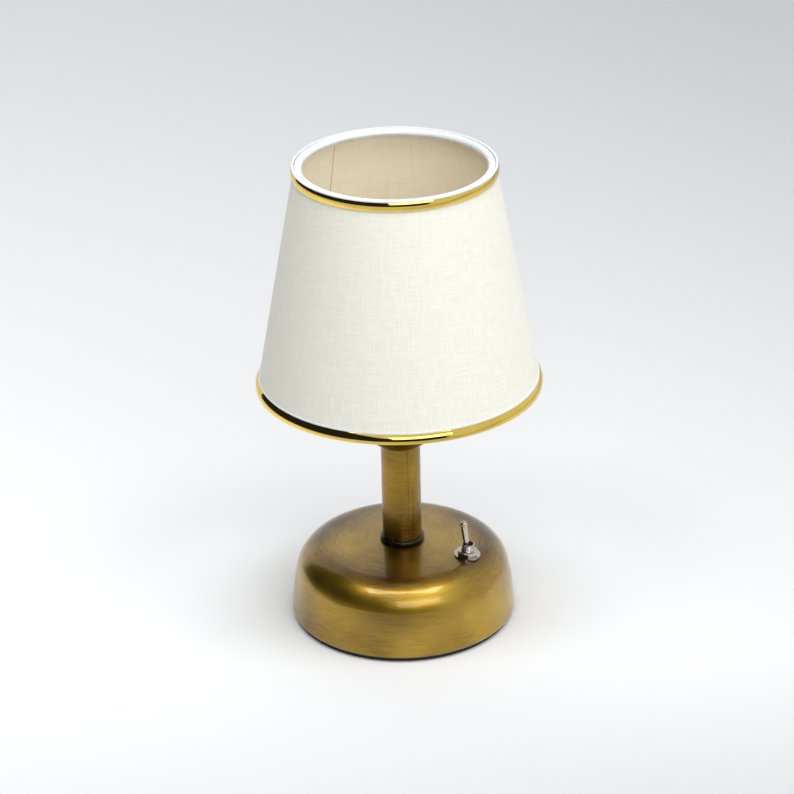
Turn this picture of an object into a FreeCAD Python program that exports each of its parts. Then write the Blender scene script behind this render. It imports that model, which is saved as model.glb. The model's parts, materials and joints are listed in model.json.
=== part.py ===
import FreeCAD, Part
import math
import os
import re

import Sketcher
from FreeCAD import Placement, Rotation, Vector

# A small table lamp that runs on batteries: a spun brass base with a toggle switch, a tube
# stem, a flared cup, a lampholder with its bulb, and a stiff cone shade with gilt edges.
# Millimetres and degrees. The stem's axis is Z and the lamp stands on Z = 0.

SIZES = {
    # base: a spun shell over a bottom plate and a rubber foot ring
    "base_height": 37.0,
    "base_radius": 51.8,
    "wall_lean": 5.5,
    "wall_straight_top": 14.2,
    "wall_arc_radius": 60.0,
    "shoulder_radius": 15.3,
    "crown_radius": 400.0,
    "edge_roll_radius": 2.0,
    "edge_lip_width": 3.0,
    "shell_wall": 1.0,
    "foot_thickness": 1.0,
    "foot_width": 2.6,
    "plate_thickness": 0.8,
    "plate_inset": 2.0,
    # screws from below, and the lugs that they hold
    "lug_count": 3,
    "lug_turn": 60.0,
    "lug_span": 14.0,
    "lug_length": 12.0,
    "lug_thickness": 1.2,
    "lug_top": 10.0,
    "lug_boss_radius": 2.8,
    "lug_gap": 0.03,
    "screw_inset": 8.3,
    "screw_radius": 1.5,
    "screw_clearance": 0.05,
    "screw_head_radius": 2.8,
    "screw_head_height": 0.7,
    "screw_length": 4.5,
    "screw_recess_width": 0.8,
    "screw_recess_length": 3.2,
    "screw_recess_depth": 0.4,
    # battery holder and its cells
    "cell_count": 3,
    "cell_radius": 5.25,
    "cell_length": 43.5,
    "cell_edge": 0.6,
    "cell_pitch": 11.2,
    "nub_radius": 1.9,
    "nub_height": 1.0,
    "holder_offset": 8.0,
    "holder_wall": 1.2,
    "holder_floor": 1.0,
    "holder_height": 9.5,
    "holder_rib": 0.4,
    "holder_rib_height": 4.0,
    "holder_screw_radius": 0.9,
    "holder_screw_head_radius": 2.2,
    "holder_screw_head_height": 0.8,
    "holder_screw_length": 2.6,
    "holder_screw_spacing": 32.0,
    "holder_screw_notch": 0.6,
    "contact_thickness": 0.4,
    "contact_width": 7.0,
    "contact_height": 6.0,
    "tab_width": 3.0,
    "tab_rise": 3.0,
    "tab_shift": 1.8,
    "leaf_depth": 2.4,
    "leaf_width": 4.0,
    "leaf_height": 5.6,
    "fit_gap": 0.1,
    # stem
    "rod_radius": 5.0,
    "rod_bore_radius": 3.8,
    "rod_clearance": 0.2,
    "rod_end": 2.0,
    "rod_chamfer": 0.4,
    "stem_radius": 9.0,
    "stem_wall": 1.0,
    "stem_top": 86.0,
    "seam_turn": -70.0,
    "seam_width": 0.3,
    "seam_depth": 0.2,
    "ring_radius": 10.3,
    "ring_height": 2.2,
    "ring_floor": 0.6,
    "ring_bead_width": 0.7,
    "tube_clearance": 0.05,
    "washer_radius": 10.0,
    "washer_thickness": 1.5,
    "rod_nut_flats": 14.0,
    "rod_nut_height": 3.0,
    "nut_chamfer": 0.6,
    "nut_chamfer_angle": 30.0,
    # cup under the lampholder
    "cup_foot_radius": 9.4,
    "cup_bowl_radius": 18.9,
    "cup_bowl_height": 14.0,
    "cup_bowl_arc": 18.0,
    "cup_mouth_radius": 19.2,
    "cup_height": 18.0,
    "cup_wall": 0.8,
    # lampholder
    "cap_collar_radius": 8.0,
    "cap_collar_height": 8.2,
    "cap_cone_height": 6.2,
    "cap_radius": 14.5,
    "cap_height": 20.2,
    "cap_spigot_radius": 13.2,
    "cap_spigot_height": 3.0,
    "cap_bore_radius": 12.0,
    "thread_clearance": 0.05,
    "seat_height": 34.2,
    "seat_radius": 16.8,
    "seat_thickness": 2.0,
    "skirt_radius": 14.0,
    "skirt_height": 53.2,
    "skirt_bore_radius": 12.6,
    "skirt_mouth_radius": 9.4,
    "skirt_mouth_depth": 4.0,
    "skirt_round": 1.5,
    "insert_thickness": 5.0,
    "sleeve_radius": 7.05,
    "sleeve_wall": 0.4,
    "sleeve_height": 20.0,
    "tongue_width": 4.0,
    "tongue_thickness": 0.4,
    "tongue_rise": 2.2,
    "tongue_length": 9.0,
    "tongue_root": 6.5,
    "tongue_flat": 3.0,
    "tongue_bend": 45.0,
    "terminal_spread": 7.0,
    "terminal_screw_radius": 1.5,
    "terminal_head_radius": 2.6,
    "terminal_head_height": 1.8,
    "terminal_screw_length": 4.0,
    # bulb
    "bulb_gap": 0.3,
    "bulb_fit": 0.1,
    "bulb_contact_radius": 2.3,
    "bulb_contact_height": 1.0,
    "bulb_glass_height": 1.6,
    "bulb_cap_height": 17.5,
    "bulb_cap_wall": 0.6,
    "bulb_collar_radius": 8.4,
    "bulb_radius": 12.5,
    "bulb_neck_radius": 10.0,
    "bulb_globe_height": 29.0,
    "bulb_shoulder_height": 6.0,
    "bulb_shoulder_arc": 8.0,
    "bulb_shell_wall": 0.8,
    "bulb_spigot_height": 3.0,
    "bulb_housing_radius": 10.5,
    "bulb_housing_straight": 2.5,
    "bulb_housing_height": 8.0,
    # shade
    "shade_bottom": 117.0,
    "shade_height": 105.0,
    "shade_bottom_radius": 63.7,
    "shade_top_radius": 44.1,
    "fabric_thickness": 0.35,
    "lining_thickness": 0.4,
    "rim_width": 3.45,
    "rim_cap": 1.2,
    "rim_inset": 0.05,
    "rim_inner_round": 1.8,
    "rim_depth": 3.8,
    "rim_under_arc": 2.8,
    "trim_height": 4.7,
    "trim_rim_thickness": 1.1,
    "trim_edge_thickness": 0.35,
    "trim_arc": 4.6,
    "lip_height": 0.5,
    "trim_bead_height": 0.6,
    "lip_width": 0.9,
    "carrier_hole_clearance": 0.3,
    "carrier_radius": 20.0,
    "carrier_thickness": 1.2,
    "arm_radius": 1.1,
    "arm_count": 3,
    "arm_turn": 90.0,
    "arm_start": 19.0,
    "arm_inner_end": 24.0,
    "arm_outer_start": 54.0,
    "arm_bend": 6.0,
    "arm_drop": 5.6,
    "arm_gap": 0.05,
    "clamp_ring_radius": 17.8,
    "clamp_ring_height": 6.0,
    "clamp_flange_radius": 18.8,
    "clamp_flange_height": 1.2,
    "clamp_round": 0.6,
    "grip_count": 16,
    "grip_radius": 1.0,
    # toggle switch, measured up from the crown along its own axis
    "switch_inset": 18.3,
    "switch_turn": -28.0,
    "bushing_radius": 3.0,
    "bushing_top": 6.0,
    "bushing_bore": 1.9,
    "bushing_mouth": 2.45,
    "bushing_chamfer": 0.3,
    "throat_half_height": 1.2,
    "inner_seat_radius": 5.4,
    "switch_hole_clearance": 0.1,
    "dress_washer_radius": 6.0,
    "dress_washer_thickness": 0.7,
    "switch_nut_flats": 9.0,
    "switch_nut_height": 2.0,
    "pivot_height": 1.6,
    "pivot_radius": 1.8,
    "lever_tilt": 12.5,
    "lever_length": 15.4,
    "lever_tip_radius": 1.75,
    "lever_radius": 1.5,
    "lever_waist_radius": 1.2,
    "tail_radius": 1.15,
    "tail_length": 5.8,
    "plunger_radius": 0.7,
    "plunger_head_radius": 0.95,
    "plunger_length": 8.6,
    "plunger_head_length": 2.4,
    "plunger_bore_depth": 2.6,
    "plunger_clearance": 0.05,
    "frame_thickness": 0.8,
    "frame_leg_height": 6.0,
    "frame_leg_width": 4.0,
    "case_length": 13.2,
    "case_width": 7.9,
    "case_height": 9.0,
    "case_wall": 1.0,
    "rocker_height": -7.45,
    "rocker_length": 9.0,
    "rocker_width": 4.0,
    "rocker_thickness": 0.4,
    "rocker_tilt": 7.0,
    "terminal_width": 2.0,
    "terminal_thickness": 0.8,
    "terminal_length": 4.2,
    "terminal_offset": 4.3,
    "terminal_gap": 0.15,
    "terminal_clearance": 0.05,
    # wires
    "wire_radius": 0.65,
    "wire_spread": 1.7,
    "wire_gap": 0.1,
    "wire_setback": 6.8,
    "wire_run": 9.2,
    "wire_lead": 9.0,
    "wire_bow": 2.0,
    "wire_bow_height": 22.0,
    "wire_high": 23.0,
    "wire_over": 26.0,
    "wire_slack": 0.3,
    "wire_waist": 60.0,
    "wire_flare_low": 100.0,
    "wire_flare_high": 105.0,
    # length by which every cutting tool runs past the stock
    "overrun": 1.0,
}

document = FreeCAD.newDocument("CandleLamp")
sheet = document.addObject("Spreadsheet::Sheet", "Sizes")
for row, (alias, size) in enumerate(SIZES.items(), 1):
    sheet.set(f"A{row}", alias)
    sheet.set(f"B{row}", str(size))
    sheet.setAlias(f"B{row}", alias)
document.recompute()


# Heights and radii that follow from the sizes above, as formulas of the sheet's cells.
SHELL_FOOT = "(foot_thickness + plate_thickness)"
PLATE_RADIUS = "(base_radius - plate_inset)"
LUG_REACH = "(base_radius - lug_length)"
SCREW_CIRCLE = "(base_radius - screw_inset)"
ROD_HOLE = "(rod_radius + rod_clearance)"
ROD_BOTTOM = "(base_height - shell_wall - washer_thickness - rod_nut_height - rod_end)"
RING_SEAT = "(base_height + ring_floor)"
CUP_FLOOR = "(stem_top + cup_wall)"
HOLDER_FOOT = f"({CUP_FLOOR} + rod_nut_height)"
CAP_FLOOR = f"({HOLDER_FOOT} + cap_collar_height)"
CAP_TOP = f"({HOLDER_FOOT} + cap_height)"
INSERT_FOOT = f"({CAP_TOP} + cap_spigot_height)"
INSERT_TOP = f"({INSERT_FOOT} + insert_thickness)"
SEAT = f"({HOLDER_FOOT} + seat_height)"
SKIRT_TOP = f"({HOLDER_FOOT} + skirt_height)"
ROD_TOP = CAP_FLOOR
BULB_FOOT = f"({INSERT_TOP} + tongue_rise + tongue_thickness + bulb_gap)"
BULB_CAP_FOOT = f"({BULB_FOOT} + bulb_contact_height + bulb_glass_height)"
BULB_CAP_TOP = f"({BULB_CAP_FOOT} + bulb_cap_height)"
BULB_NECK = f"({BULB_CAP_TOP} + bulb_housing_height)"
BULB_TOP = f"({BULB_NECK} + bulb_globe_height)"
BULB_CAP_RADIUS = "(sleeve_radius - bulb_fit)"
SHADE_TOP = "(shade_bottom + shade_height)"
TAPER = "((shade_bottom_radius - shade_top_radius) / shade_height)"
SHADE_WALL = "(fabric_thickness + lining_thickness)"
CARRIER_HOLE = "(skirt_radius + carrier_hole_clearance)"
TRAY_LENGTH = "(cell_length + nub_height + leaf_depth + 2 * contact_thickness)"
TRAY_WIDTH = "(cell_count * cell_pitch)"
CELL_HEIGHT = f"({SHELL_FOOT} + holder_floor + cell_radius + fit_gap)"
CONTACT_FACE = f"({TRAY_LENGTH} / 2 - contact_thickness)"
WASHER_TOP = ("(base_height - crown_radius"
              " + sqrt((crown_radius - shell_wall)^2 - washer_radius^2) - thread_clearance)")
ARM_HEIGHT = f"({SEAT} + carrier_thickness / 2)"
ARM_END = "(shade_bottom_radius - rim_width - arm_gap)"
RING_BEAD_ARC = "((ring_height^2 / 4 + ring_bead_width^2) / (2 * ring_bead_width))"
SWITCH_REACH = "(base_radius - switch_inset)"
SWITCH_RISE = f"(base_height - crown_radius + sqrt(crown_radius^2 - {SWITCH_REACH}^2))"
CASE_TOP = "(-shell_wall - switch_nut_height - frame_thickness)"
CASE_FOOT = f"({CASE_TOP} - case_height)"


# Holder screws stand in the valleys between the cells, one on each side.
HOLDER_SCREWS = (("-holder_offset - cell_pitch / 2", "-holder_screw_spacing / 2"),
                 ("-holder_offset + cell_pitch / 2", "holder_screw_spacing / 2"))
BEND_SHARE = 0.45

# The sketcher's numbers for an edge's points and for the sketch's own origin.
FIRST_END, LAST_END, CENTRE = 1, 2, 3
SKETCH_ORIGIN = (-1, 1)


def cell_place(number):
    """Place of a cell's axis along X, the middle cell at the holder's middle."""
    return f"(-holder_offset + ({number} - (cell_count - 1) / 2) * cell_pitch)"


def cells(formula):
    """The formula with every size written as its cell in the sheet."""
    return re.sub(r"[a-z_]+", lambda word: "Sizes." + word[0] if word[0] in SIZES else word[0], formula)


def value(formula):
    """The formula worked out from the sheet, as a plain number."""
    result = sheet.evalExpression(formula)
    return float(getattr(result, "Value", result))


def new_body(label):
    body = document.addObject("PartDesign::Body", "Body")
    body.Label = label
    body.AllowCompound = True
    return body


def origin_of(body, role):
    return next(item for item in body.Origin.OriginFeatures if item.Role == role)


def sketch_on(body, role, offset="0"):
    sketch = body.newObject("Sketcher::SketchObject", "Sketch")
    sketch.AttachmentSupport = [(origin_of(body, role), "")]
    sketch.MapMode = "FlatFace"
    sketch.setExpression("AttachmentOffset.Base.z", cells(offset))
    return sketch


def bind_point(sketch, edge, end, x, y):
    """Tie one end of an edge to the formulas of its two distances from the sketch's origin."""
    for kind, formula in (("DistanceX", x), ("DistanceY", y)):
        if formula is None:
            continue
        index = sketch.addConstraint(Sketcher.Constraint(kind, *SKETCH_ORIGIN, edge, end, value(formula)))
        sketch.setExpression(f"Constraints[{index}]", cells(formula))


def bind_radius(sketch, edge, formula):
    index = sketch.addConstraint(Sketcher.Constraint("Radius", edge, value(formula)))
    sketch.setExpression(f"Constraints[{index}]", cells(formula))


def arc_through(start, end, radius):
    """Arc from start to end; a plus radius bulges to the right of the way it runs, a minus to the left."""
    chord = end - start
    middle = (start + end) * 0.5
    right = Vector(chord.y, -chord.x, 0).normalize()
    rise = abs(radius) - math.sqrt(max(radius**2 - (chord.Length / 2)**2, 0))
    return Part.Arc(start, middle + right * math.copysign(rise, radius), end)


def nearer_end(sketch, edge, spot):
    """Which end of an edge lies at a spot. An arc is kept counterclockwise, so its ends may be swapped."""
    return min((FIRST_END, LAST_END), key=lambda end: sketch.getPoint(edge, end).distanceToPoint(spot))


def outline(sketch, corners):
    """Closed outline from corner to corner. A corner (x, y) ends a line, (x, y, radius) an arc."""
    spots = [Vector(value(corner[0]), value(corner[1]), 0) for corner in corners]
    edges = []
    for number, corner in enumerate(corners):
        start = spots[number - 1]
        if len(corner) == 2:
            edges.append(sketch.addGeometry(Part.LineSegment(start, spots[number]), False))
        else:
            edges.append(sketch.addGeometry(arc_through(start, spots[number], value(corner[2])), False))
            bind_radius(sketch, edges[-1], corner[2].lstrip("-"))
    for number, edge in enumerate(edges):
        following = edges[(number + 1) % len(edges)]
        end = nearer_end(sketch, edge, spots[number])
        start = nearer_end(sketch, following, spots[number])
        sketch.addConstraint(Sketcher.Constraint("Coincident", edge, end, following, start))
        bind_point(sketch, edge, end, corners[number][0], corners[number][1])


def circle(sketch, x, y, radius):
    edge = sketch.addGeometry(
        Part.Circle(Vector(value(x), value(y), 0), Vector(0, 0, 1), value(radius)), False)
    bind_radius(sketch, edge, radius)
    bind_point(sketch, edge, 3, x, y)


def revolve(body, corners, angle="360"):
    """Solid of revolution about the body's Z axis of an outline of (radius, height) corners."""
    sketch = sketch_on(body, "XZ_Plane")
    outline(sketch, corners)
    turned = body.newObject("PartDesign::Revolution", "Revolution")
    turned.Profile = sketch
    turned.ReferenceAxis = (sketch, ["V_Axis"])
    turned.Midplane = True
    turned.setExpression("Angle", cells(angle))
    document.recompute()
    return turned


def groove(body, corners):
    sketch = sketch_on(body, "XZ_Plane")
    outline(sketch, corners)
    cut = body.newObject("PartDesign::Groove", "Groove")
    cut.Profile = sketch
    cut.ReferenceAxis = (sketch, ["V_Axis"])
    document.recompute()
    return cut


def pad(body, sketch, length, midplane=False):
    grown = body.newObject("PartDesign::Pad", "Pad")
    grown.Profile = sketch
    grown.Midplane = midplane
    grown.setExpression("Length", cells(length))
    document.recompute()
    return grown


def cylinder(body, kind, radius, length, place):
    """Cylinder added to or cut from the body; place is the formula of its foot's placement."""
    feature = body.newObject(f"PartDesign::{kind}Cylinder", "Cylinder")
    feature.setExpression("Radius", cells(radius))
    feature.setExpression("Height", cells(length))
    feature.setExpression("Placement", cells(place))
    document.recompute()
    return feature


def block(body, kind, x, y, height, length, width, tall):
    """Box added to or cut from the body, centred on x and y, upwards from a height."""
    feature = body.newObject(f"PartDesign::{kind}Box", "Box")
    feature.setExpression("Length", cells(length))
    feature.setExpression("Width", cells(width))
    feature.setExpression("Height", cells(tall))
    corner = at_point(f"{x} - ({length}) / 2", f"{y} - ({width}) / 2", height)
    feature.setExpression("Placement", cells(corner))
    document.recompute()
    return feature


def polar(body, features, count):
    pattern = body.newObject("PartDesign::PolarPattern", "PolarPattern")
    pattern.Originals = features
    pattern.Axis = (origin_of(body, "Z_Axis"), [""])
    pattern.Angle = 360
    pattern.setExpression("Occurrences", cells(count))
    body.Tip = pattern
    document.recompute()
    return pattern


def hexagon(sketch, flats):
    """Regular hexagon about the origin with two corners on the X axis."""
    half = f"({flats} / 2)"
    corner = f"({flats} / sqrt(3))"
    outline(sketch, [(corner, "0"), (f"{corner} / 2", half), (f"-{corner} / 2", half),
                     (f"-{corner}", "0"), (f"-{corner} / 2", f"-{half}"), (f"{corner} / 2", f"-{half}")])


def hex_nut(body, flats, height, hole, foot):
    """Hexagon nut from the height foot upwards, its top corners turned off to a cone."""
    sketch = sketch_on(body, "XY_Plane", foot)
    hexagon(sketch, flats)
    circle(sketch, "0", "0", hole)
    pad(body, sketch, height)
    corner = f"({flats} / sqrt(3))"
    top = f"({foot} + {height})"
    groove(body, [(f"{corner} + overrun", f"{top} - nut_chamfer - overrun * tan(nut_chamfer_angle)"),
                  (f"{corner} + overrun", f"{top} + overrun"),
                  (f"{corner} - nut_chamfer / tan(nut_chamfer_angle)", f"{top} + overrun"),
                  (f"{corner} - nut_chamfer / tan(nut_chamfer_angle)", top)])


def at_height(height):
    return f"placement(vector(0; 0; {height}); rotation(vector(0; 0; 1); 0))"


def at_point(x, y, height):
    return f"placement(vector({x}; {y}; {height}); rotation(vector(0; 0; 1); 0))"


SWITCH_PLACE = (
    f"placement(vector({SWITCH_REACH} * cos(switch_turn); {SWITCH_REACH} * sin(switch_turn); {SWITCH_RISE});"
    " rotation(vector(0; 0; 1); switch_turn)"
    f" * rotation(vector(0; 1; 0); asin({SWITCH_REACH} / crown_radius)))")
LUG_PLACE = "placement(vector(0; 0; 0); rotation(vector(0; 0; 1); lug_turn))"
LEVER_PLACE = (f"{SWITCH_PLACE}"
               " * placement(vector(0; 0; pivot_height); rotation(vector(0; 1; 0); -lever_tilt))")
ROCKER_PLACE = (f"{SWITCH_PLACE}"
                " * placement(vector(0; 0; rocker_height); rotation(vector(0; 1; 0); rocker_tilt))")


# Base

def shell_start():
    """Start values of the shell's tangent points and arc centres for the sketch solver."""
    lean = math.radians(value("wall_lean"))
    inward = Vector(-math.cos(lean), -math.sin(lean), 0)
    roll = Vector(value("base_radius - edge_roll_radius"), value(f"{SHELL_FOOT} + edge_roll_radius"), 0)
    low = roll - inward * value("edge_roll_radius")
    climb = value("wall_straight_top") - low.y
    high = low + Vector(-climb * math.tan(lean), climb, 0)
    wall = high + inward * value("wall_arc_radius")
    crown = Vector(0, value("base_height - crown_radius"), 0)
    reach_wall = value("wall_arc_radius - shoulder_radius")
    reach_crown = value("crown_radius - shoulder_radius")
    gap = (wall - crown).Length
    along = (reach_crown**2 - reach_wall**2 + gap**2) / (2 * gap)
    across = math.sqrt(reach_crown**2 - along**2)
    line = (wall - crown).normalize()
    shoulder = crown + line * along + Vector(line.y, -line.x, 0) * across
    return roll, low, high, wall, shoulder, crown


def shell_side(sketch, wall):
    """One face of the shell from its foot to the rod hole: roll, straight, wall arc, shoulder, crown."""
    roll, low, high, bend, shoulder, crown = shell_start()
    inset = value(wall)
    up = Vector(0, 0, 1)
    outward = (low - roll).normalize()
    low = low - outward * inset
    high = high - outward * inset
    turns = [
        (roll, value("edge_roll_radius") - inset, -math.pi / 2, math.atan2(outward.y, outward.x)),
        None,
        (bend, value("wall_arc_radius") - inset, math.atan2(outward.y, outward.x),
         math.atan2(shoulder.y - bend.y, shoulder.x - bend.x)),
        (shoulder, value("shoulder_radius") - inset, math.atan2(shoulder.y - bend.y, shoulder.x - bend.x),
         math.atan2(shoulder.y - crown.y, shoulder.x - crown.x)),
        (crown, value("crown_radius") - inset, math.atan2(shoulder.y - crown.y, shoulder.x - crown.x),
         math.acos(value(ROD_HOLE) / (value("crown_radius") - inset))),
    ]
    edges = []
    for turn in turns:
        if turn is None:
            edges.append(sketch.addGeometry(Part.LineSegment(low, high), False))
            continue
        centre, radius, first, last = turn
        edges.append(sketch.addGeometry(
            Part.ArcOfCircle(Part.Circle(centre, up, radius), first, last), False))
    for first, second in zip(edges, edges[1:]):
        sketch.addConstraint(Sketcher.Constraint("Tangent", first, 2, second, 1))
    bind_point(sketch, edges[-1], 2, ROD_HOLE, None)
    return edges


def base_shell():
    body = new_body("base_shell")
    sketch = sketch_on(body, "XZ_Plane")
    outer = shell_side(sketch, "0")
    inner = shell_side(sketch, "shell_wall")
    roll, straight, bend, shoulder, crown = outer
    bind_point(sketch, roll, 3, "base_radius - edge_roll_radius", f"{SHELL_FOOT} + edge_roll_radius")
    bind_radius(sketch, roll, "edge_roll_radius")
    lean = math.radians(90 + value("wall_lean"))
    index = sketch.addConstraint(Sketcher.Constraint("Angle", straight, lean))
    sketch.setExpression(f"Constraints[{index}]", "90 + " + cells("wall_lean"))
    bind_point(sketch, straight, 2, None, "wall_straight_top")
    bind_radius(sketch, bend, "wall_arc_radius")
    bind_radius(sketch, shoulder, "shoulder_radius")
    bind_point(sketch, crown, 3, "0", "base_height - crown_radius")
    bind_radius(sketch, crown, "crown_radius")
    for number, edge in enumerate(outer):
        if number != 1:
            sketch.addConstraint(Sketcher.Constraint("Coincident", inner[number], 3, edge, 3))
    bind_radius(sketch, inner[0], "edge_roll_radius - shell_wall")
    bind_radius(sketch, inner[4], "crown_radius - shell_wall")
    lip = value("base_radius - edge_lip_width")
    low = value(SHELL_FOOT)
    high = value(f"{SHELL_FOOT} + shell_wall")
    under = sketch.addGeometry(Part.LineSegment(Vector(lip, low, 0), sketch.getPoint(outer[0], 1)), False)
    over = sketch.addGeometry(Part.LineSegment(sketch.getPoint(inner[0], 1), Vector(lip, high, 0)), False)
    end = sketch.addGeometry(Part.LineSegment(Vector(lip, high, 0), Vector(lip, low, 0)), False)
    hole = sketch.addGeometry(
        Part.LineSegment(sketch.getPoint(outer[4], 2), sketch.getPoint(inner[4], 2)), False)
    sketch.addConstraint(Sketcher.Constraint("Tangent", under, 2, outer[0], 1))
    sketch.addConstraint(Sketcher.Constraint("Horizontal", under))
    sketch.addConstraint(Sketcher.Constraint("Tangent", over, 1, inner[0], 1))
    sketch.addConstraint(Sketcher.Constraint("Horizontal", over))
    sketch.addConstraint(Sketcher.Constraint("Coincident", end, 1, over, 2))
    sketch.addConstraint(Sketcher.Constraint("Coincident", end, 2, under, 1))
    sketch.addConstraint(Sketcher.Constraint("Coincident", hole, 1, outer[4], 2))
    sketch.addConstraint(Sketcher.Constraint("Coincident", hole, 2, inner[4], 2))
    bind_point(sketch, end, 2, "base_radius - edge_lip_width", None)
    bind_point(sketch, end, 1, "base_radius - edge_lip_width", None)
    document.recompute()
    turned = body.newObject("PartDesign::Revolution", "Revolution")
    turned.Profile = sketch
    turned.ReferenceAxis = (sketch, ["V_Axis"])
    document.recompute()
    cylinder(body, "Subtractive", "bushing_radius + switch_hole_clearance", "4 * shell_wall",
             f"{SWITCH_PLACE} * {at_height('-2 * shell_wall')}")
    cylinder(body, "Subtractive", "inner_seat_radius", "overrun",
             f"{SWITCH_PLACE} * {at_height('-shell_wall - overrun')}")
    return body


def base_plate():
    body = new_body("base_plate")
    sketch = sketch_on(body, "XY_Plane", "foot_thickness")
    circle(sketch, "0", "0", PLATE_RADIUS)
    pad(body, sketch, "plate_thickness")
    for spot in HOLDER_SCREWS:
        cylinder(body, "Subtractive", "holder_screw_radius + screw_clearance",
                 "plate_thickness + 2 * overrun",
                 at_point(*spot, "foot_thickness - overrun"))
    hole = cylinder(body, "Subtractive", "screw_radius + screw_clearance", "plate_thickness + 2 * overrun",
                    at_point(f"{SCREW_CIRCLE} * cos(lug_turn)", f"{SCREW_CIRCLE} * sin(lug_turn)",
                             "foot_thickness - overrun"))
    polar(body, [hole], "lug_count")
    return body


def base_pad():
    body = new_body("base_pad")
    revolve(body, [(f"{PLATE_RADIUS} - foot_width", "0"), (PLATE_RADIUS, "0"),
                   (PLATE_RADIUS, "foot_thickness"), (f"{PLATE_RADIUS} - foot_width", "foot_thickness")])
    return body


def inner_wall(height):
    """Radius of the shell's leaning inner wall at a height, less the lugs' gap."""
    return (f"(base_radius - edge_roll_radius + (edge_roll_radius - shell_wall) / cos(wall_lean)"
            f" - ({height} - {SHELL_FOOT} - edge_roll_radius) * tan(wall_lean) - lug_gap)")


def cover_lugs():
    body = new_body("cover_lugs")
    seat = f"({SHELL_FOOT} + shell_wall)"
    bend = f"({SHELL_FOOT} + edge_roll_radius + lug_gap)"
    over = f"({seat} + lug_thickness)"
    foot = revolve(body, [
        (LUG_REACH, seat),
        ("base_radius - edge_roll_radius - lug_gap", seat),
        (inner_wall(bend), bend),
        (inner_wall("lug_top"), "lug_top"),
        (f"{inner_wall('lug_top')} - lug_thickness", "lug_top"),
        (f"{inner_wall(over)} - lug_thickness", over),
        (LUG_REACH, over)], "lug_span")
    polar(body, [foot], "lug_count")
    boss = cylinder(body, "Additive", "lug_boss_radius", f"{over} - {SHELL_FOOT}",
                    at_point(SCREW_CIRCLE, "0", SHELL_FOOT))
    hole = cylinder(body, "Subtractive", "screw_radius + screw_clearance",
                    f"{over} - {SHELL_FOOT} + 2 * overrun",
                    at_point(SCREW_CIRCLE, "0", f"{SHELL_FOOT} - overrun"))
    polar(body, [boss, hole], "lug_count")
    body.setExpression("Placement", cells(LUG_PLACE))
    return body


def cover_screws():
    body = new_body("cover_screws")
    head_foot = "(foot_thickness - screw_head_height)"
    head = cylinder(body, "Additive", "screw_head_radius", "screw_head_height",
                    at_point(SCREW_CIRCLE, "0", head_foot))
    shank = cylinder(body, "Additive", "screw_radius", "screw_length",
                     at_point(SCREW_CIRCLE, "0", "foot_thickness"))
    slots = [block(body, "Subtractive", SCREW_CIRCLE, "0", f"{head_foot} - overrun",
                   *size, "screw_recess_depth + overrun")
             for size in (("screw_recess_length", "screw_recess_width"),
                          ("screw_recess_width", "screw_recess_length"))]
    polar(body, [head, shank, *slots], "lug_count")
    body.setExpression("Placement", cells(LUG_PLACE))
    return body


# Battery holder

def battery_holder():
    body = new_body("battery_holder")
    middle = "-holder_offset"
    block(body, "Additive", middle, "0", SHELL_FOOT,
          f"{TRAY_WIDTH} + 2 * holder_wall", f"{TRAY_LENGTH} + 2 * holder_wall", "holder_height")
    block(body, "Subtractive", middle, "0", f"{SHELL_FOOT} + holder_floor",
          TRAY_WIDTH, TRAY_LENGTH, "holder_height")
    for side in ("-", "+"):
        block(body, "Additive", f"{middle} {side} cell_pitch / 2", "0", f"{SHELL_FOOT} + holder_floor",
              "holder_rib", f"2 * ({CONTACT_FACE} - fit_gap)", "holder_rib_height")
    for spot in HOLDER_SCREWS:
        cylinder(body, "Subtractive", "holder_screw_head_radius + holder_screw_notch",
                 "holder_rib_height + overrun",
                 at_point(*spot, f"{SHELL_FOOT} + holder_floor"))
        cylinder(body, "Subtractive", "holder_screw_radius + screw_clearance", "holder_floor + 2 * overrun",
                 at_point(*spot, f"{SHELL_FOOT} - overrun"))
    return body


def holder_screws():
    body = new_body("holder_screws")
    seat = f"({SHELL_FOOT} + holder_floor)"
    for spot in HOLDER_SCREWS:
        cylinder(body, "Additive", "holder_screw_radius", "holder_screw_length",
                 at_point(*spot, f"{seat} - holder_screw_length"))
        cylinder(body, "Additive", "holder_screw_head_radius", "holder_screw_head_height",
                 at_point(*spot, seat))
    return body


def battery_cell(number):
    """One cell; the nubs of neighbours point opposite ways, so that the plates join them in series."""
    body = new_body(f"battery_cell_{number + 1}")
    end = "cell_length - cell_edge"
    revolve(body, [
        ("0", "0"), ("cell_radius - cell_edge", "0"), ("cell_radius", "cell_edge", "cell_edge"),
        ("cell_radius", end), ("cell_radius - cell_edge", "cell_length", "cell_edge"),
        ("nub_radius", "cell_length"), ("nub_radius", "cell_length + nub_height"),
        ("0", "cell_length + nub_height")])
    side = 1 if number % 2 == 0 else -1
    body.setExpression("Placement", cells(
        f"placement(vector({cell_place(number)}; {side} * ({CONTACT_FACE} - leaf_depth); {CELL_HEIGHT});"
        f" rotation(vector(1; 0; 0); {side * 90}))"))
    return body


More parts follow.
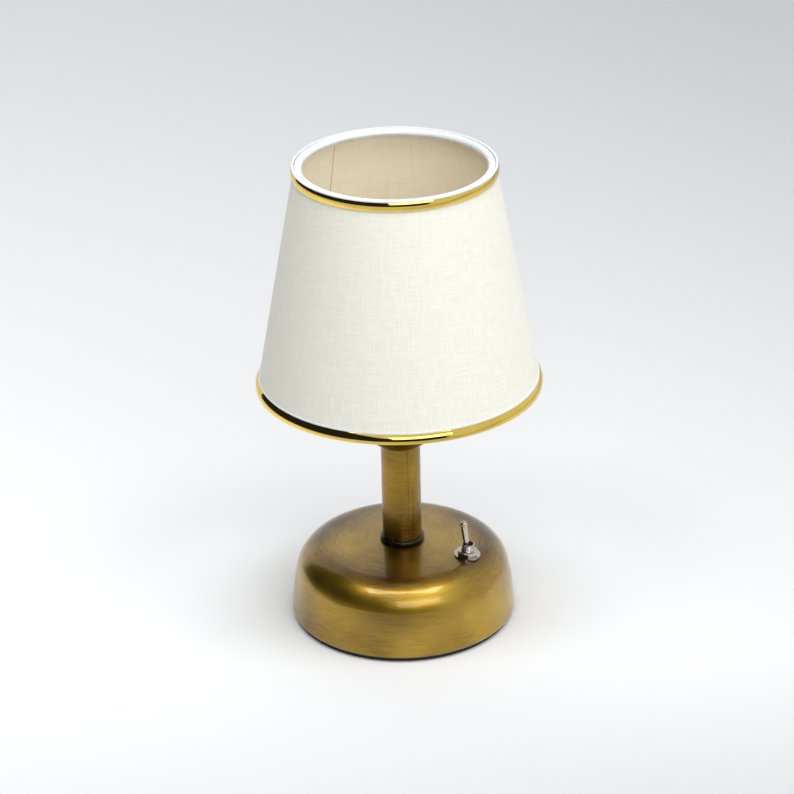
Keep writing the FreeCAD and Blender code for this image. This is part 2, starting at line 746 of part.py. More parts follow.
def battery_contacts():
    body = new_body("battery_contacts")
    height = f"{CELL_HEIGHT} - contact_height / 2"
    back = f"({CONTACT_FACE} + contact_thickness / 2)"
    for side, first, last in ((-1, 0, 1), (-1, 2, 2), (1, 0, 0), (1, 1, 2)):
        block(body, "Additive", f"({cell_place(first)} + {cell_place(last)}) / 2", f"{side} * {back}", height,
              f"contact_width + {last - first} * cell_pitch", "contact_thickness", "contact_height")
    tab_height = f"holder_height + {SHELL_FOOT} + tab_rise - {CELL_HEIGHT}"
    block(body, "Additive", f"{cell_place(2)} + tab_shift", f"-{back}", CELL_HEIGHT,
          "tab_width", "contact_thickness", tab_height)
    block(body, "Additive", cell_place(0), back, CELL_HEIGHT, "tab_width", "contact_thickness", tab_height)
    return body


def battery_leaf_springs():
    """Bowed strips that press the flat end of each cell."""
    body = new_body("battery_leaf_springs")
    outer = "((leaf_height^2 / 4 + leaf_depth^2) / (2 * leaf_depth))"
    inner = f"({outer} - contact_thickness)"
    foot = f"sqrt({inner}^2 - ({outer} - leaf_depth)^2)"
    for number, side in ((0, 1), (1, -1), (2, 1)):
        sketch = sketch_on(body, "YZ_Plane", cell_place(number))
        plate = f"{side} * {CONTACT_FACE}"
        signs = ("", "-") if side < 0 else ("-", "")
        outline(sketch, [
            (plate, f"{CELL_HEIGHT} - leaf_height / 2"),
            (plate, f"{CELL_HEIGHT} + leaf_height / 2", signs[0] + outer),
            (plate, f"{CELL_HEIGHT} + {foot}"),
            (plate, f"{CELL_HEIGHT} - {foot}", signs[1] + inner)])
        pad(body, sketch, "leaf_width", midplane=True)
    return body


# Stem

def foot_ring():
    body = new_body("foot_ring")
    bead = "ring_radius - ring_bead_width"
    revolve(body, [
        (ROD_HOLE, "base_height"), (bead, "base_height"),
        (bead, "base_height + ring_height", RING_BEAD_ARC),
        ("stem_radius + tube_clearance", "base_height + ring_height"),
        ("stem_radius + tube_clearance", RING_SEAT), (ROD_HOLE, RING_SEAT)])
    return body


def stem_tube():
    body = new_body("stem_tube")
    inner = "stem_radius - stem_wall"
    revolve(body, [(inner, RING_SEAT), ("stem_radius", RING_SEAT), ("stem_radius", "stem_top"),
                   (inner, "stem_top")])
    seam = body.newObject("PartDesign::SubtractiveBox", "Box")
    seam.setExpression("Length", cells("seam_depth + overrun"))
    seam.setExpression("Width", cells("seam_width"))
    seam.setExpression("Height", cells("stem_top"))
    seam.setExpression("Placement", cells(
        "placement(vector(0; 0; base_height); rotation(vector(0; 0; 1); seam_turn))"
        " * placement(vector(stem_radius - seam_depth; -seam_width / 2; 0); rotation(vector(0; 0; 1); 0))"))
    document.recompute()
    return body


def threaded_rod():
    body = new_body("threaded_rod")
    revolve(body, [
        ("rod_bore_radius", ROD_BOTTOM), ("rod_radius - rod_chamfer", ROD_BOTTOM),
        ("rod_radius", f"{ROD_BOTTOM} + rod_chamfer"), ("rod_radius", f"{ROD_TOP} - rod_chamfer"),
        ("rod_radius - rod_chamfer", ROD_TOP), ("rod_bore_radius", ROD_TOP)])
    return body


def rod_washer():
    body = new_body("rod_washer")
    foot = f"{WASHER_TOP} - washer_thickness"
    revolve(body, [(ROD_HOLE, foot), ("washer_radius", foot), ("washer_radius", WASHER_TOP),
                   (ROD_HOLE, WASHER_TOP)])
    return body


def rod_nut():
    body = new_body("rod_nut")
    hex_nut(body, "rod_nut_flats", "rod_nut_height", "rod_radius + thread_clearance",
            f"{WASHER_TOP} - washer_thickness - rod_nut_height")
    return body


def cup():
    body = new_body("cup")
    bowl_top = "(stem_top + cup_bowl_height)"
    mouth = "(stem_top + cup_height)"
    revolve(body, [
        (ROD_HOLE, "stem_top"), ("cup_foot_radius", "stem_top"),
        ("cup_bowl_radius", bowl_top, "cup_bowl_arc"),
        ("cup_mouth_radius", mouth), ("cup_mouth_radius - cup_wall", mouth),
        ("cup_bowl_radius - cup_wall", bowl_top),
        ("cup_foot_radius - cup_wall / 2", CUP_FLOOR, "-(cup_bowl_arc - cup_wall)"),
        (ROD_HOLE, CUP_FLOOR)])
    return body


def cup_nut():
    body = new_body("cup_nut")
    hex_nut(body, "rod_nut_flats", "rod_nut_height", "rod_radius + thread_clearance", CUP_FLOOR)
    return body


# Lampholder

def holder_cap():
    body = new_body("holder_cap")
    cone_top = f"({HOLDER_FOOT} + cap_cone_height)"
    bore = "rod_radius + thread_clearance"
    revolve(body, [
        (bore, HOLDER_FOOT), ("cap_collar_radius", HOLDER_FOOT), ("cap_radius", cone_top),
        ("cap_radius", CAP_TOP), ("cap_spigot_radius", CAP_TOP), ("cap_spigot_radius", INSERT_FOOT),
        ("cap_bore_radius", INSERT_FOOT), ("cap_bore_radius", CAP_FLOOR), (bore, CAP_FLOOR)])
    return body


def holder_skirt():
    body = new_body("holder_skirt")
    spigot_bore = "cap_spigot_radius + thread_clearance"
    spigot_end = f"({INSERT_FOOT} + fit_gap)"
    flange = f"({SEAT} - seat_thickness)"
    revolve(body, [
        (spigot_bore, CAP_TOP), ("cap_radius", CAP_TOP), ("cap_radius", flange),
        ("seat_radius", flange), ("seat_radius", SEAT), ("skirt_radius", SEAT),
        ("skirt_radius", f"{SKIRT_TOP} - skirt_round"),
        ("skirt_radius - skirt_round", SKIRT_TOP, "skirt_round"),
        ("skirt_mouth_radius", SKIRT_TOP), ("skirt_mouth_radius", f"{SKIRT_TOP} - skirt_mouth_depth"),
        ("skirt_bore_radius", f"{SKIRT_TOP} - skirt_mouth_depth"), ("skirt_bore_radius", spigot_end),
        (spigot_bore, spigot_end)])
    return body


def holder_insulator():
    body = new_body("holder_insulator")
    sketch = sketch_on(body, "XY_Plane", INSERT_FOOT)
    circle(sketch, "0", "0", "skirt_bore_radius - fit_gap")
    pad(body, sketch, "insert_thickness")
    for side in ("-", "+"):
        cylinder(body, "Subtractive", "terminal_screw_radius + screw_clearance",
                 "terminal_screw_length + fit_gap + overrun",
                 at_point(f"{side}terminal_spread", "0", f"{INSERT_FOOT} - overrun"))
    return body


def terminal_screws():
    body = new_body("terminal_screws")
    for side in ("-", "+"):
        cylinder(body, "Additive", "terminal_head_radius", "terminal_head_height",
                 at_point(f"{side}terminal_spread", "0", f"{INSERT_FOOT} - terminal_head_height"))
        cylinder(body, "Additive", "terminal_screw_radius", "terminal_screw_length",
                 at_point(f"{side}terminal_spread", "0", INSERT_FOOT))
    return body


def screw_shell():
    body = new_body("screw_shell")
    top = f"{INSERT_TOP} + sleeve_height"
    revolve(body, [("sleeve_radius", INSERT_TOP), ("sleeve_radius + sleeve_wall", INSERT_TOP),
                   ("sleeve_radius + sleeve_wall", top), ("sleeve_radius", top)])
    return body


def centre_contact():
    """Bent strip: flat on the insulator, up a ramp, then flat under the bulb's tip."""
    body = new_body("centre_contact")
    sketch = sketch_on(body, "XZ_Plane")
    over = f"({INSERT_TOP} + tongue_thickness)"
    outline(sketch, [
        ("-tongue_root", INSERT_TOP), ("-tongue_root + tongue_flat", INSERT_TOP),
        ("-tongue_root + tongue_flat + tongue_rise", f"{INSERT_TOP} + tongue_rise"),
        ("tongue_length - tongue_root", f"{INSERT_TOP} + tongue_rise"),
        ("tongue_length - tongue_root", f"{over} + tongue_rise"),
        (f"-tongue_root + tongue_flat + tongue_rise - tongue_thickness * tan(tongue_bend / 2)", f"{over} + tongue_rise"),
        (f"-tongue_root + tongue_flat - tongue_thickness * tan(tongue_bend / 2)", over),
        ("-tongue_root", over)])
    pad(body, sketch, "tongue_width", midplane=True)
    return body


# Bulb

def bulb_contact():
    body = new_body("bulb_contact")
    top = f"{BULB_FOOT} + bulb_contact_height"
    revolve(body, [("0", BULB_FOOT), ("bulb_contact_radius - bulb_contact_height / 2", BULB_FOOT),
                   ("bulb_contact_radius", top), ("0", top)])
    return body


def bulb_insulator():
    body = new_body("bulb_insulator")
    foot = f"{BULB_FOOT} + bulb_contact_height"
    revolve(body, [("0", foot), ("bulb_contact_radius + bulb_cap_wall", foot),
                   (f"{BULB_CAP_RADIUS} - bulb_cap_wall", BULB_CAP_FOOT), ("0", BULB_CAP_FOOT)])
    return body


def bulb_cap():
    body = new_body("bulb_cap")
    inner = f"{BULB_CAP_RADIUS} - bulb_cap_wall"
    floor = f"{BULB_CAP_FOOT} + bulb_cap_wall"
    revolve(body, [
        ("0", BULB_CAP_FOOT), (inner, BULB_CAP_FOOT), (BULB_CAP_RADIUS, floor),
        (BULB_CAP_RADIUS, BULB_CAP_TOP), (inner, BULB_CAP_TOP), (inner, floor), ("0", floor)])
    return body


def bulb_housing():
    """Plastic housing between the cap and the globe."""
    body = new_body("bulb_housing")
    inner = f"{BULB_CAP_RADIUS} - bulb_cap_wall - screw_clearance"
    foot = f"{BULB_CAP_TOP} - bulb_spigot_height"
    revolve(body, [
        ("0", foot), (inner, foot), (inner, BULB_CAP_TOP), ("bulb_collar_radius", BULB_CAP_TOP),
        ("bulb_collar_radius", f"{BULB_CAP_TOP} + bulb_housing_straight"),
        ("bulb_housing_radius", f"{BULB_NECK} - bulb_shell_wall"),
        ("bulb_housing_radius", BULB_NECK), ("0", BULB_NECK)])
    return body


def bulb_globe():
    """Opal shell: a neck, a rounded shoulder, a straight wall and a half sphere."""
    body = new_body("bulb_globe")
    shoulder = f"({BULB_NECK} + bulb_shoulder_height)"
    crown = f"({BULB_TOP} - bulb_radius)"
    inner = "bulb_radius - bulb_shell_wall"
    revolve(body, [
        ("bulb_neck_radius - bulb_shell_wall", BULB_NECK, "-bulb_shoulder_arc"),
        ("bulb_neck_radius", BULB_NECK), ("bulb_radius", shoulder, "bulb_shoulder_arc"),
        ("bulb_radius", crown), ("0", BULB_TOP, "bulb_radius"),
        ("0", f"{BULB_TOP} - bulb_shell_wall"),
        (inner, crown, "-(bulb_radius - bulb_shell_wall)"), (inner, shoulder)])
    return body


# Shade

def cone_radius(height, depth="0"):
    """Radius of the shade's cone at a height, depth below the fabric's face."""
    return f"(shade_bottom_radius - {TAPER} * ({height} - shade_bottom) - {depth})"


def cone_skin(label, face, back):
    """Rolled sheet between two depths, its ends covered by the rims."""
    body = new_body(label)
    low = "(shade_bottom + rim_cap)"
    high = f"({SHADE_TOP} - rim_cap)"
    revolve(body, [(cone_radius(low, back), low), (cone_radius(low, face), low),
                   (cone_radius(high, face), high), (cone_radius(high, back), high)])
    return body


def shade_fabric():
    return cone_skin("shade_fabric", "0", "fabric_thickness")


def shade_lining():
    return cone_skin("shade_lining", "fabric_thickness", SHADE_WALL)


def rim(label, end, way):
    """Moulded rim over one end of the cone; way is + where the rim runs upwards from the end."""
    body = new_body(label)
    back = "-" if way == "+" else "+"
    cap = f"({end} {way} rim_cap)"
    deep = f"({end} {way} rim_depth)"
    inner = f"({cone_radius(end)} - rim_width)"
    turn = "" if way == "-" else "-"
    corners = [
        (f"{cone_radius(cap)} - rim_inset", cap),
        (f"{cone_radius(cap)} - rim_inset - rim_cap", end, f"{turn}rim_cap"),
        (f"{inner} + rim_inner_round", end),
        (inner, f"{end} {way} rim_inner_round", f"{turn}rim_inner_round"),
        (cone_radius(deep, SHADE_WALL), deep, f"{turn}rim_under_arc"),
        (cone_radius(cap, SHADE_WALL), cap)]
    revolve(body, corners)
    return body


def top_rim():
    return rim("top_rim", SHADE_TOP, "-")


def bottom_rim():
    return rim("bottom_rim", "shade_bottom", "+")


def top_trim():
    """Gilt band round the upper end: a domed strip whose back lies on the fabric."""
    body = new_body("top_trim")
    low = f"({SHADE_TOP} - trim_height)"
    high = f"({SHADE_TOP} - lip_height)"
    revolve(body, [
        (cone_radius(low), low), (f"{cone_radius(low)} + trim_edge_thickness", low),
        (f"{cone_radius(SHADE_TOP)} + trim_rim_thickness", high, "trim_arc"), (cone_radius(high), high)])
    return body


def bottom_trim():
    body = new_body("bottom_trim")
    high = "(shade_bottom + trim_height - trim_bead_height)"
    revolve(body, [
        (cone_radius("shade_bottom"), "shade_bottom"),
        (f"{cone_radius('shade_bottom')} + trim_rim_thickness", "shade_bottom"),
        (f"{cone_radius(high)} + trim_edge_thickness", high, "trim_arc"), (cone_radius(high), high)])
    return body


def top_trim_edge():
    body = new_body("top_trim_edge")
    low = f"({SHADE_TOP} - lip_height)"
    outer = f"{cone_radius(SHADE_TOP)} + trim_rim_thickness"
    revolve(body, [(f"{outer} - lip_width", low), (outer, low), (outer, SHADE_TOP),
                   (f"{outer} - lip_width", SHADE_TOP)])
    return body


def bottom_trim_edge():
    body = new_body("bottom_trim_edge")
    low = "(shade_bottom + trim_height - trim_bead_height)"
    high = "(shade_bottom + trim_height)"
    revolve(body, [
        (cone_radius(low), low), (f"{cone_radius(low)} + trim_edge_thickness", low),
        (f"{cone_radius(high)} + trim_edge_thickness", high), (cone_radius(high), high)])
    return body


def arm_path(body):
    """Side view of an arm: level, down a slope between two bends, level again to the rim."""
    sketch = sketch_on(body, "XZ_Plane")
    names = ("arm_start", "arm_inner_end", "arm_outer_start", "arm_bend", "arm_drop")
    size = {name: value(name) for name in names}
    end = value(ARM_END)
    high = value(ARM_HEIGHT)
    low = high - size["arm_drop"]
    bend = size["arm_bend"]
    span = Vector(size["arm_outer_start"] - size["arm_inner_end"], low - high + 2 * bend, 0)
    slope = math.asin(2 * bend / span.Length) - math.atan2(span.y, span.x)
    down = Vector(math.sin(slope), math.cos(slope), 0) * bend
    first = Vector(size["arm_inner_end"], high - bend, 0)
    second = Vector(size["arm_outer_start"], low + bend, 0)
    up = Vector(0, 0, 1)
    edges = [
        sketch.addGeometry(Part.LineSegment(
            Vector(size["arm_start"], high, 0), Vector(size["arm_inner_end"], high, 0)), False),
        sketch.addGeometry(Part.ArcOfCircle(
            Part.Circle(first, up, bend), math.pi / 2 - slope, math.pi / 2), False),
        sketch.addGeometry(Part.LineSegment(first + down, second - down), False),
        sketch.addGeometry(Part.ArcOfCircle(
            Part.Circle(second, up, bend), -math.pi / 2 - slope, -math.pi / 2), False),
        sketch.addGeometry(Part.LineSegment(
            Vector(size["arm_outer_start"], low, 0), Vector(end, low, 0)), False)]
    for joint in ((0, 2, 1, 2), (1, 1, 2, 1), (2, 2, 3, 1), (3, 2, 4, 1)):
        sketch.addConstraint(Sketcher.Constraint(
            "Tangent", edges[joint[0]], joint[1], edges[joint[2]], joint[3]))
    bind_radius(sketch, edges[1], "arm_bend")
    bind_radius(sketch, edges[3], "arm_bend")
    bind_point(sketch, edges[0], 1, "arm_start", ARM_HEIGHT)
    bind_point(sketch, edges[0], 2, "arm_inner_end", None)
    bind_point(sketch, edges[4], 1, "arm_outer_start", None)
    bind_point(sketch, edges[4], 2, ARM_END, f"{ARM_HEIGHT} - arm_drop")
    sketch.addConstraint(Sketcher.Constraint("Horizontal", edges[0]))
    sketch.addConstraint(Sketcher.Constraint("Horizontal", edges[4]))
    return sketch


def shade_carrier():
    """Hub that sits on the lampholder, with bent arms out to the lower rim."""
    body = new_body("shade_carrier")
    revolve(body, [(CARRIER_HOLE, SEAT), ("carrier_radius", SEAT),
                   ("carrier_radius", f"{SEAT} + carrier_thickness"),
                   (CARRIER_HOLE, f"{SEAT} + carrier_thickness")])
    path = arm_path(body)
    section = sketch_on(body, "YZ_Plane", "arm_start")
    circle(section, "0", ARM_HEIGHT, "arm_radius")
    arm = body.newObject("PartDesign::AdditivePipe", "Pipe")
    arm.Profile = section
    arm.Spine = path
    document.recompute()
    polar(body, [arm], "arm_count")
    body.setExpression("Placement", cells("placement(vector(0; 0; 0); rotation(vector(0; 0; 1); arm_turn))"))
    return body


def shade_ring():
    """Ring that clamps the carrier on the lampholder, with finger grooves."""
    body = new_body("shade_ring")
    foot = f"({SEAT} + carrier_thickness)"
    flange = f"({foot} + clamp_flange_height)"
    top = f"({foot} + clamp_ring_height)"
    revolve(body, [
        (CARRIER_HOLE, foot), ("clamp_flange_radius", foot), ("clamp_flange_radius", flange),
        ("clamp_ring_radius", flange), ("clamp_ring_radius", f"{top} - clamp_round"),
        ("clamp_ring_radius - clamp_round", top, "clamp_round"), (CARRIER_HOLE, top)])
    grip = cylinder(body, "Subtractive", "grip_radius", "clamp_ring_height",
                    at_point("clamp_ring_radius + grip_radius / 2", "0", flange))
    polar(body, [grip], "grip_count")
    return body


# Switch, each piece in the frame of the crown's normal

def switch_washer():
    body = new_body("switch_washer")
    inner = "bushing_radius + thread_clearance"
    revolve(body, [(inner, "0"), ("dress_washer_radius", "0"),
                   ("dress_washer_radius", "dress_washer_thickness"), (inner, "dress_washer_thickness")])
    body.setExpression("Placement", cells(SWITCH_PLACE))
    return body


def switch_nut(label, foot):
    body = new_body(label)
    hex_nut(body, "switch_nut_flats", "switch_nut_height", "bushing_radius + thread_clearance", foot)
    body.setExpression("Placement", cells(SWITCH_PLACE))
    return body


def switch_nut_outer():
    return switch_nut("switch_nut_outer", "dress_washer_thickness")


def switch_nut_inner():
    return switch_nut("switch_nut_inner", "(-shell_wall - switch_nut_height)")


def switch_bushing():
    """Threaded bushing whose bore opens both ways from the lever's pivot."""
    body = new_body("switch_bushing")
    foot = "(-shell_wall - switch_nut_height)"
    revolve(body, [
        ("bushing_radius", foot), ("bushing_radius", "bushing_top - bushing_chamfer"),
        ("bushing_radius - bushing_chamfer", "bushing_top"), ("bushing_mouth", "bushing_top"),
        ("bushing_bore", "pivot_height + throat_half_height"),
        ("bushing_bore", "pivot_height - throat_half_height"), ("bushing_mouth", foot)])
    body.setExpression("Placement", cells(SWITCH_PLACE))
    return body


def switch_frame():
    body = new_body("switch_frame")
    block(body, "Additive", "0", "0", CASE_TOP,
          "case_length", "case_width + 2 * frame_thickness", "frame_thickness")
    for side in ("-", "+"):
        block(body, "Additive", "0", f"{side}(case_width + frame_thickness) / 2",
              f"{CASE_TOP} - frame_leg_height", "frame_leg_width", "frame_thickness", "frame_leg_height")
    cylinder(body, "Subtractive", "bushing_mouth", "frame_thickness + 2 * overrun",
             at_height(f"{CASE_TOP} - overrun"))
    body.setExpression("Placement", cells(SWITCH_PLACE))
    return body


def switch_case():
    body = new_body("switch_case")
    block(body, "Additive", "0", "0", CASE_FOOT, "case_length", "case_width", "case_height")
    block(body, "Subtractive", "0", "0", f"{CASE_FOOT} + case_wall",
          "case_length - 2 * case_wall", "case_width - 2 * case_wall", "case_height")
    for place in ("0", "terminal_offset"):
        block(body, "Subtractive", place, "0", f"{CASE_FOOT} - overrun",
              "terminal_thickness + 2 * terminal_clearance", "terminal_width + 2 * terminal_clearance",
              "case_wall + 2 * overrun")
    body.setExpression("Placement", cells(SWITCH_PLACE))
    return body


def terminal(label, place, top):
    body = new_body(label)
    foot = f"({CASE_FOOT} - terminal_length)"
    block(body, "Additive", place, "0", foot, "terminal_thickness", "terminal_width", f"{top} - {foot}")
    body.setExpression("Placement", cells(SWITCH_PLACE))
    return body


def terminal_common():
    """Post on which the rocker tips."""
    return terminal("terminal_common", "0", "(rocker_height - rocker_thickness / 2 - terminal_gap)")


def terminal_switched():
    """Post that the rocker's end meets."""
    return terminal("terminal_switched", "terminal_offset",
                    "(rocker_height - rocker_length / 2 * sin(rocker_tilt)"
                    " - rocker_thickness / 2 - terminal_gap)")


def switch_rocker():
    body = new_body("switch_rocker")
    block(body, "Additive", "0", "0", "-rocker_thickness / 2",
          "rocker_length", "rocker_width", "rocker_thickness")
    body.setExpression("Placement", cells(ROCKER_PLACE))
    return body


def switch_lever():
    """Bat lever: a tapered shaft with a ball tip, a pivot ball and a bored tail."""
    body = new_body("switch_lever")
    bore = "plunger_radius + plunger_clearance"
    ball = "(lever_length - lever_tip_radius)"
    revolve(body, [
        (bore, "-tail_length"), ("tail_radius", "-tail_length"),
        ("tail_radius", "-sqrt(pivot_radius^2 - tail_radius^2)"),
        ("lever_waist_radius", "sqrt(pivot_radius^2 - lever_waist_radius^2)", "pivot_radius"),
        ("lever_radius", f"{ball} - sqrt(lever_tip_radius^2 - lever_radius^2)"),
        ("0", "lever_length", "lever_tip_radius"),
        ("0", "-tail_length + plunger_bore_depth"), (bore, "-tail_length + plunger_bore_depth")])
    body.setExpression("Placement", cells(LEVER_PLACE))
    return body


def switch_plunger():
    body = new_body("switch_plunger")
    head = "(plunger_length - plunger_head_length)"
    root = "(tail_length - plunger_bore_depth + plunger_clearance)"
    revolve(body, [
        ("0", "-plunger_length"),
        ("plunger_head_radius", "-plunger_length + plunger_head_radius", "plunger_head_radius"),
        ("plunger_head_radius", f"-{head}"), ("plunger_radius", f"-{head}"),
        ("plunger_radius", f"-{root}"), ("0", f"-{root}")])
    body.setExpression("Placement", cells(LEVER_PLACE))
    return body


# Wires

def wire(label, corners):
    """Round wire along straight runs between the corners, each corner turned off by a tangent arc."""
    spots = [Vector(*map(value, corner)) for corner in corners]
    edges = []
    start = spots[0]
    for before, corner, after in zip(spots, spots[1:], spots[2:]):
        coming = (corner - before).normalize()
        going = (after - corner).normalize()
        turn = coming.getAngle(going)
        shorter = min(before.distanceToPoint(corner), corner.distanceToPoint(after))
        setback = min(BEND_SHARE * shorter, value("wire_setback"))
        radius = setback / math.tan(turn / 2)
        first = corner - coming * setback
        last = corner + going * setback
        centre = first + (going - coming * math.cos(turn)).normalize() * radius
        edges.append(Part.makeLine(start, first))
        edges.append(Part.Arc(first, centre + (corner - centre).normalize() * radius, last).toShape())
        start = last
        print(f"{label}: bend radius {radius:.2f}")
    edges.append(Part.makeLine(start, spots[-1]))
    spine = Part.Wire(edges)
    radius = value("wire_radius")
    section = Part.Wire([Part.makeCircle(radius, spots[0], spots[1] - spots[0])])
    feature = document.addObject("Part::Feature", "Wire")
    feature.Label = label
    feature.Shape = spine.makePipeShell([section], True, False)
    print(f"{label}: volume over section times length "
          f"{feature.Shape.Volume / (math.pi * radius**2 * spine.Length):.4f}")
    return feature


def beside_lug(offset, side):
    """World points at half height beside a terminal's lug: the wire's end, and its lead away from the lug."""
    ends = []
    for lead in ("wire_gap", "wire_gap + wire_lead"):
        place = sheet.evalExpression(
            f"{SWITCH_PLACE} * placement(vector({offset}; {side} * (terminal_width / 2 + {lead});"
            f" {CASE_FOOT} - terminal_length / 2); rotation(vector(0; 0; 1); 0))")
        ends.append(tuple(str(part) for part in place.Base))
    return ends


def wire_battery():
    """From the last cell's plate out over the holder's side and up to the common lug."""
    end, lead = beside_lug("0", "-1")
    tab = (f"{cell_place(2)} + tab_shift + tab_width / 2 + wire_gap",
           f"-({CONTACT_FACE} + contact_thickness / 2)",
           f"{SHELL_FOOT} + holder_height + wire_radius + fit_gap")
    return wire("wire_battery", [tab, (f"{tab[0]} + wire_run", tab[1], tab[2]), lead, end])


def wire_lamp():
    """From the switched lug over the cells and up through the rod to a terminal screw."""
    end, lead = beside_lug("terminal_offset", "1")
    return wire("wire_lamp", [
        end,
        lead,
        (f"({lead[0]} + wire_spread) / 2", "wire_bow", "wire_bow_height"),
        ("wire_spread", "0", "wire_high"),
        ("wire_spread", "wire_slack", "wire_waist"),
        ("wire_spread", "0", "wire_flare_low"),
        ("terminal_spread", "0", "wire_flare_high"),
        ("terminal_spread", "0", f"{INSERT_FOOT} - terminal_head_height - wire_gap")])


def wire_return():
    """From the first cell's plate over the holder and up through the rod to the other terminal screw."""
    tab = (cell_place(0), f"{CONTACT_FACE} + contact_thickness / 2",
           f"{SHELL_FOOT} + holder_height + tab_rise + wire_gap")
    return wire("wire_return", [
        tab,
        (tab[0], tab[1], "wire_over"),
        ("-wire_spread", "0", "wire_over"),
        ("-wire_spread", "wire_slack", "wire_waist"),
        ("-wire_spread", "0", "wire_flare_low"),
        ("-terminal_spread", "0", "wire_flare_high"),
        ("-terminal_spread", "0", f"{INSERT_FOOT} - terminal_head_height - wire_gap")])


def build_all():
    makers = [
        base_shell, base_plate, base_pad, cover_lugs, cover_screws,
        battery_holder, holder_screws, battery_contacts, battery_leaf_springs,
        foot_ring, stem_tube, threaded_rod, rod_washer, rod_nut, cup, cup_nut,
        holder_cap, holder_skirt, holder_insulator, terminal_screws, screw_shell, centre_contact,
        bulb_contact, bulb_insulator, bulb_cap, bulb_housing, bulb_globe,
        shade_fabric, shade_lining, top_rim, bottom_rim, top_trim, bottom_trim,
        top_trim_edge, bottom_trim_edge, shade_carrier, shade_ring,
        switch_washer, switch_nut_outer, switch_nut_inner, switch_bushing, switch_frame, switch_case,
        terminal_common, terminal_switched, switch_rocker, switch_lever, switch_plunger,
        wire_battery, wire_lamp, wire_return]
    battery = [battery_cell(number) for number in range(round(value("cell_count")))]
    return [maker() for maker in makers] + battery


def check_and_export(parts):
    document.recompute()
    faults = [f"{item.Label}: {item.State}" for item in document.Objects
              if "Invalid" in item.State or "Error" in item.State]
    faults += [f"{part.Label}: bad shape" for part in parts
               if part.Shape.isNull() or not part.Shape.isValid()]
    if faults:
        raise RuntimeError("; ".join(faults))
    os.makedirs("parts", exist_ok=True)
    for part in parts:
        part.Shape.exportStep(f"parts/{part.Label}.step")


check_and_export(build_all())
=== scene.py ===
import json
import math

import bpy
import numpy as np
from mathutils import Matrix, Vector


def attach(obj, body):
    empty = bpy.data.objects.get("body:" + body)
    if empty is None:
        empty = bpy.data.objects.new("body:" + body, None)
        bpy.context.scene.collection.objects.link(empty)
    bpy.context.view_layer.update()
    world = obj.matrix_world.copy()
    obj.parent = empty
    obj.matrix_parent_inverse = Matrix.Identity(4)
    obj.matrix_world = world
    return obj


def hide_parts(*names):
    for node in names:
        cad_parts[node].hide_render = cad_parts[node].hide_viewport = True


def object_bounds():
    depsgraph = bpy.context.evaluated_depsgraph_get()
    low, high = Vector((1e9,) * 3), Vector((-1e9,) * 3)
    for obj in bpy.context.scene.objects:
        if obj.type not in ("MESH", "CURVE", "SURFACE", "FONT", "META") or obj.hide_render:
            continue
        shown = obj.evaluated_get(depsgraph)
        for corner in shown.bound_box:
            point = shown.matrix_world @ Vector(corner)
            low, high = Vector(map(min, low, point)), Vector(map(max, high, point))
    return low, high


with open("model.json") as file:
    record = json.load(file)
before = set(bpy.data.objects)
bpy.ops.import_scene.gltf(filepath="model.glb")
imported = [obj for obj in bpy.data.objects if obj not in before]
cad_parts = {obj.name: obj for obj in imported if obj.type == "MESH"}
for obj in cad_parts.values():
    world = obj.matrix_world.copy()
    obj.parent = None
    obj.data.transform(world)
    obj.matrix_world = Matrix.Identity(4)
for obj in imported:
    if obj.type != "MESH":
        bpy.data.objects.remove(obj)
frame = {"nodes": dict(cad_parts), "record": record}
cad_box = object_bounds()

# %% [markdown]
# # A small brass table lamp
#
# The CAD model arrives as the frame: every piece in its place, in metres, +Z up the stem.
# This script only dresses it. Each cell below adds one thing: helpers, the two shared shader
# groups, one material per finish, the one surface that CAD leaves plain, and the studio.
# A finish could also be a picture wrapped round its piece. Nodes were chosen instead, because
# they stay sharp at any distance and need no unwrapping.

# %% The lamp's size

for label, low, high in zip("XYZ", *cad_box):
    print(f"lamp along {label}: {high - low:.4f} m")

# %% [markdown]
# ## Short names for nodes
#
# A material is a graph of nodes. In Blender's Shader Editor you would add them one by one and
# drag links between their sockets. In a script, each common node reads best as one function
# that takes numbers or other nodes' sockets and gives back its own result.

# %% Node helpers

# The Mix node carries sockets for every kind of data. These are the places of its colour ones.
MIX_FACTOR, MIX_FIRST, MIX_SECOND, MIX_RESULT = 0, 6, 7, 2


def feed(tree, socket, value):
    """Give a socket its value, or a link where the value is another node's socket."""
    if isinstance(value, bpy.types.NodeSocket):
        tree.links.new(value, socket)
    else:
        socket.default_value = value


def put(tree, kind, **inputs):
    """Add a shader node and feed its named sockets, written with underscores for spaces."""
    node = tree.nodes.new(kind)
    for name, value in inputs.items():
        feed(tree, node.inputs[name.replace("_", " ")], value)
    return node


def calc(tree, operation, first, second=0.0):
    """One Math node; gives its result."""
    node = tree.nodes.new("ShaderNodeMath")
    node.operation = operation
    feed(tree, node.inputs[0], first)
    feed(tree, node.inputs[1], second)
    return node.outputs[0]


def times(tree, first, *others):
    """The product of several values."""
    for other in others:
        first = calc(tree, "MULTIPLY", first, other)
    return first


def spread(tree, value, low, high, to_low=0.0, to_high=1.0):
    """Map a value from one range to another, held at both ends. A range may run downwards."""
    node = put(tree, "ShaderNodeMapRange", Value=value)
    for name, number in (("From Min", low), ("From Max", high), ("To Min", to_low), ("To Max", to_high)):
        node.inputs[name].default_value = number
    return node.outputs[0]


def blend(tree, factor, first, second):
    """Mix two colours, each a tuple of red, green and blue or another node's socket."""
    node = tree.nodes.new("ShaderNodeMix")
    node.data_type = "RGBA"
    feed(tree, node.inputs[MIX_FACTOR], factor)
    for place, colour in ((MIX_FIRST, first), (MIX_SECOND, second)):
        feed(tree, node.inputs[place], (*colour, 1.0) if isinstance(colour, tuple) else colour)
    return node.outputs[MIX_RESULT]


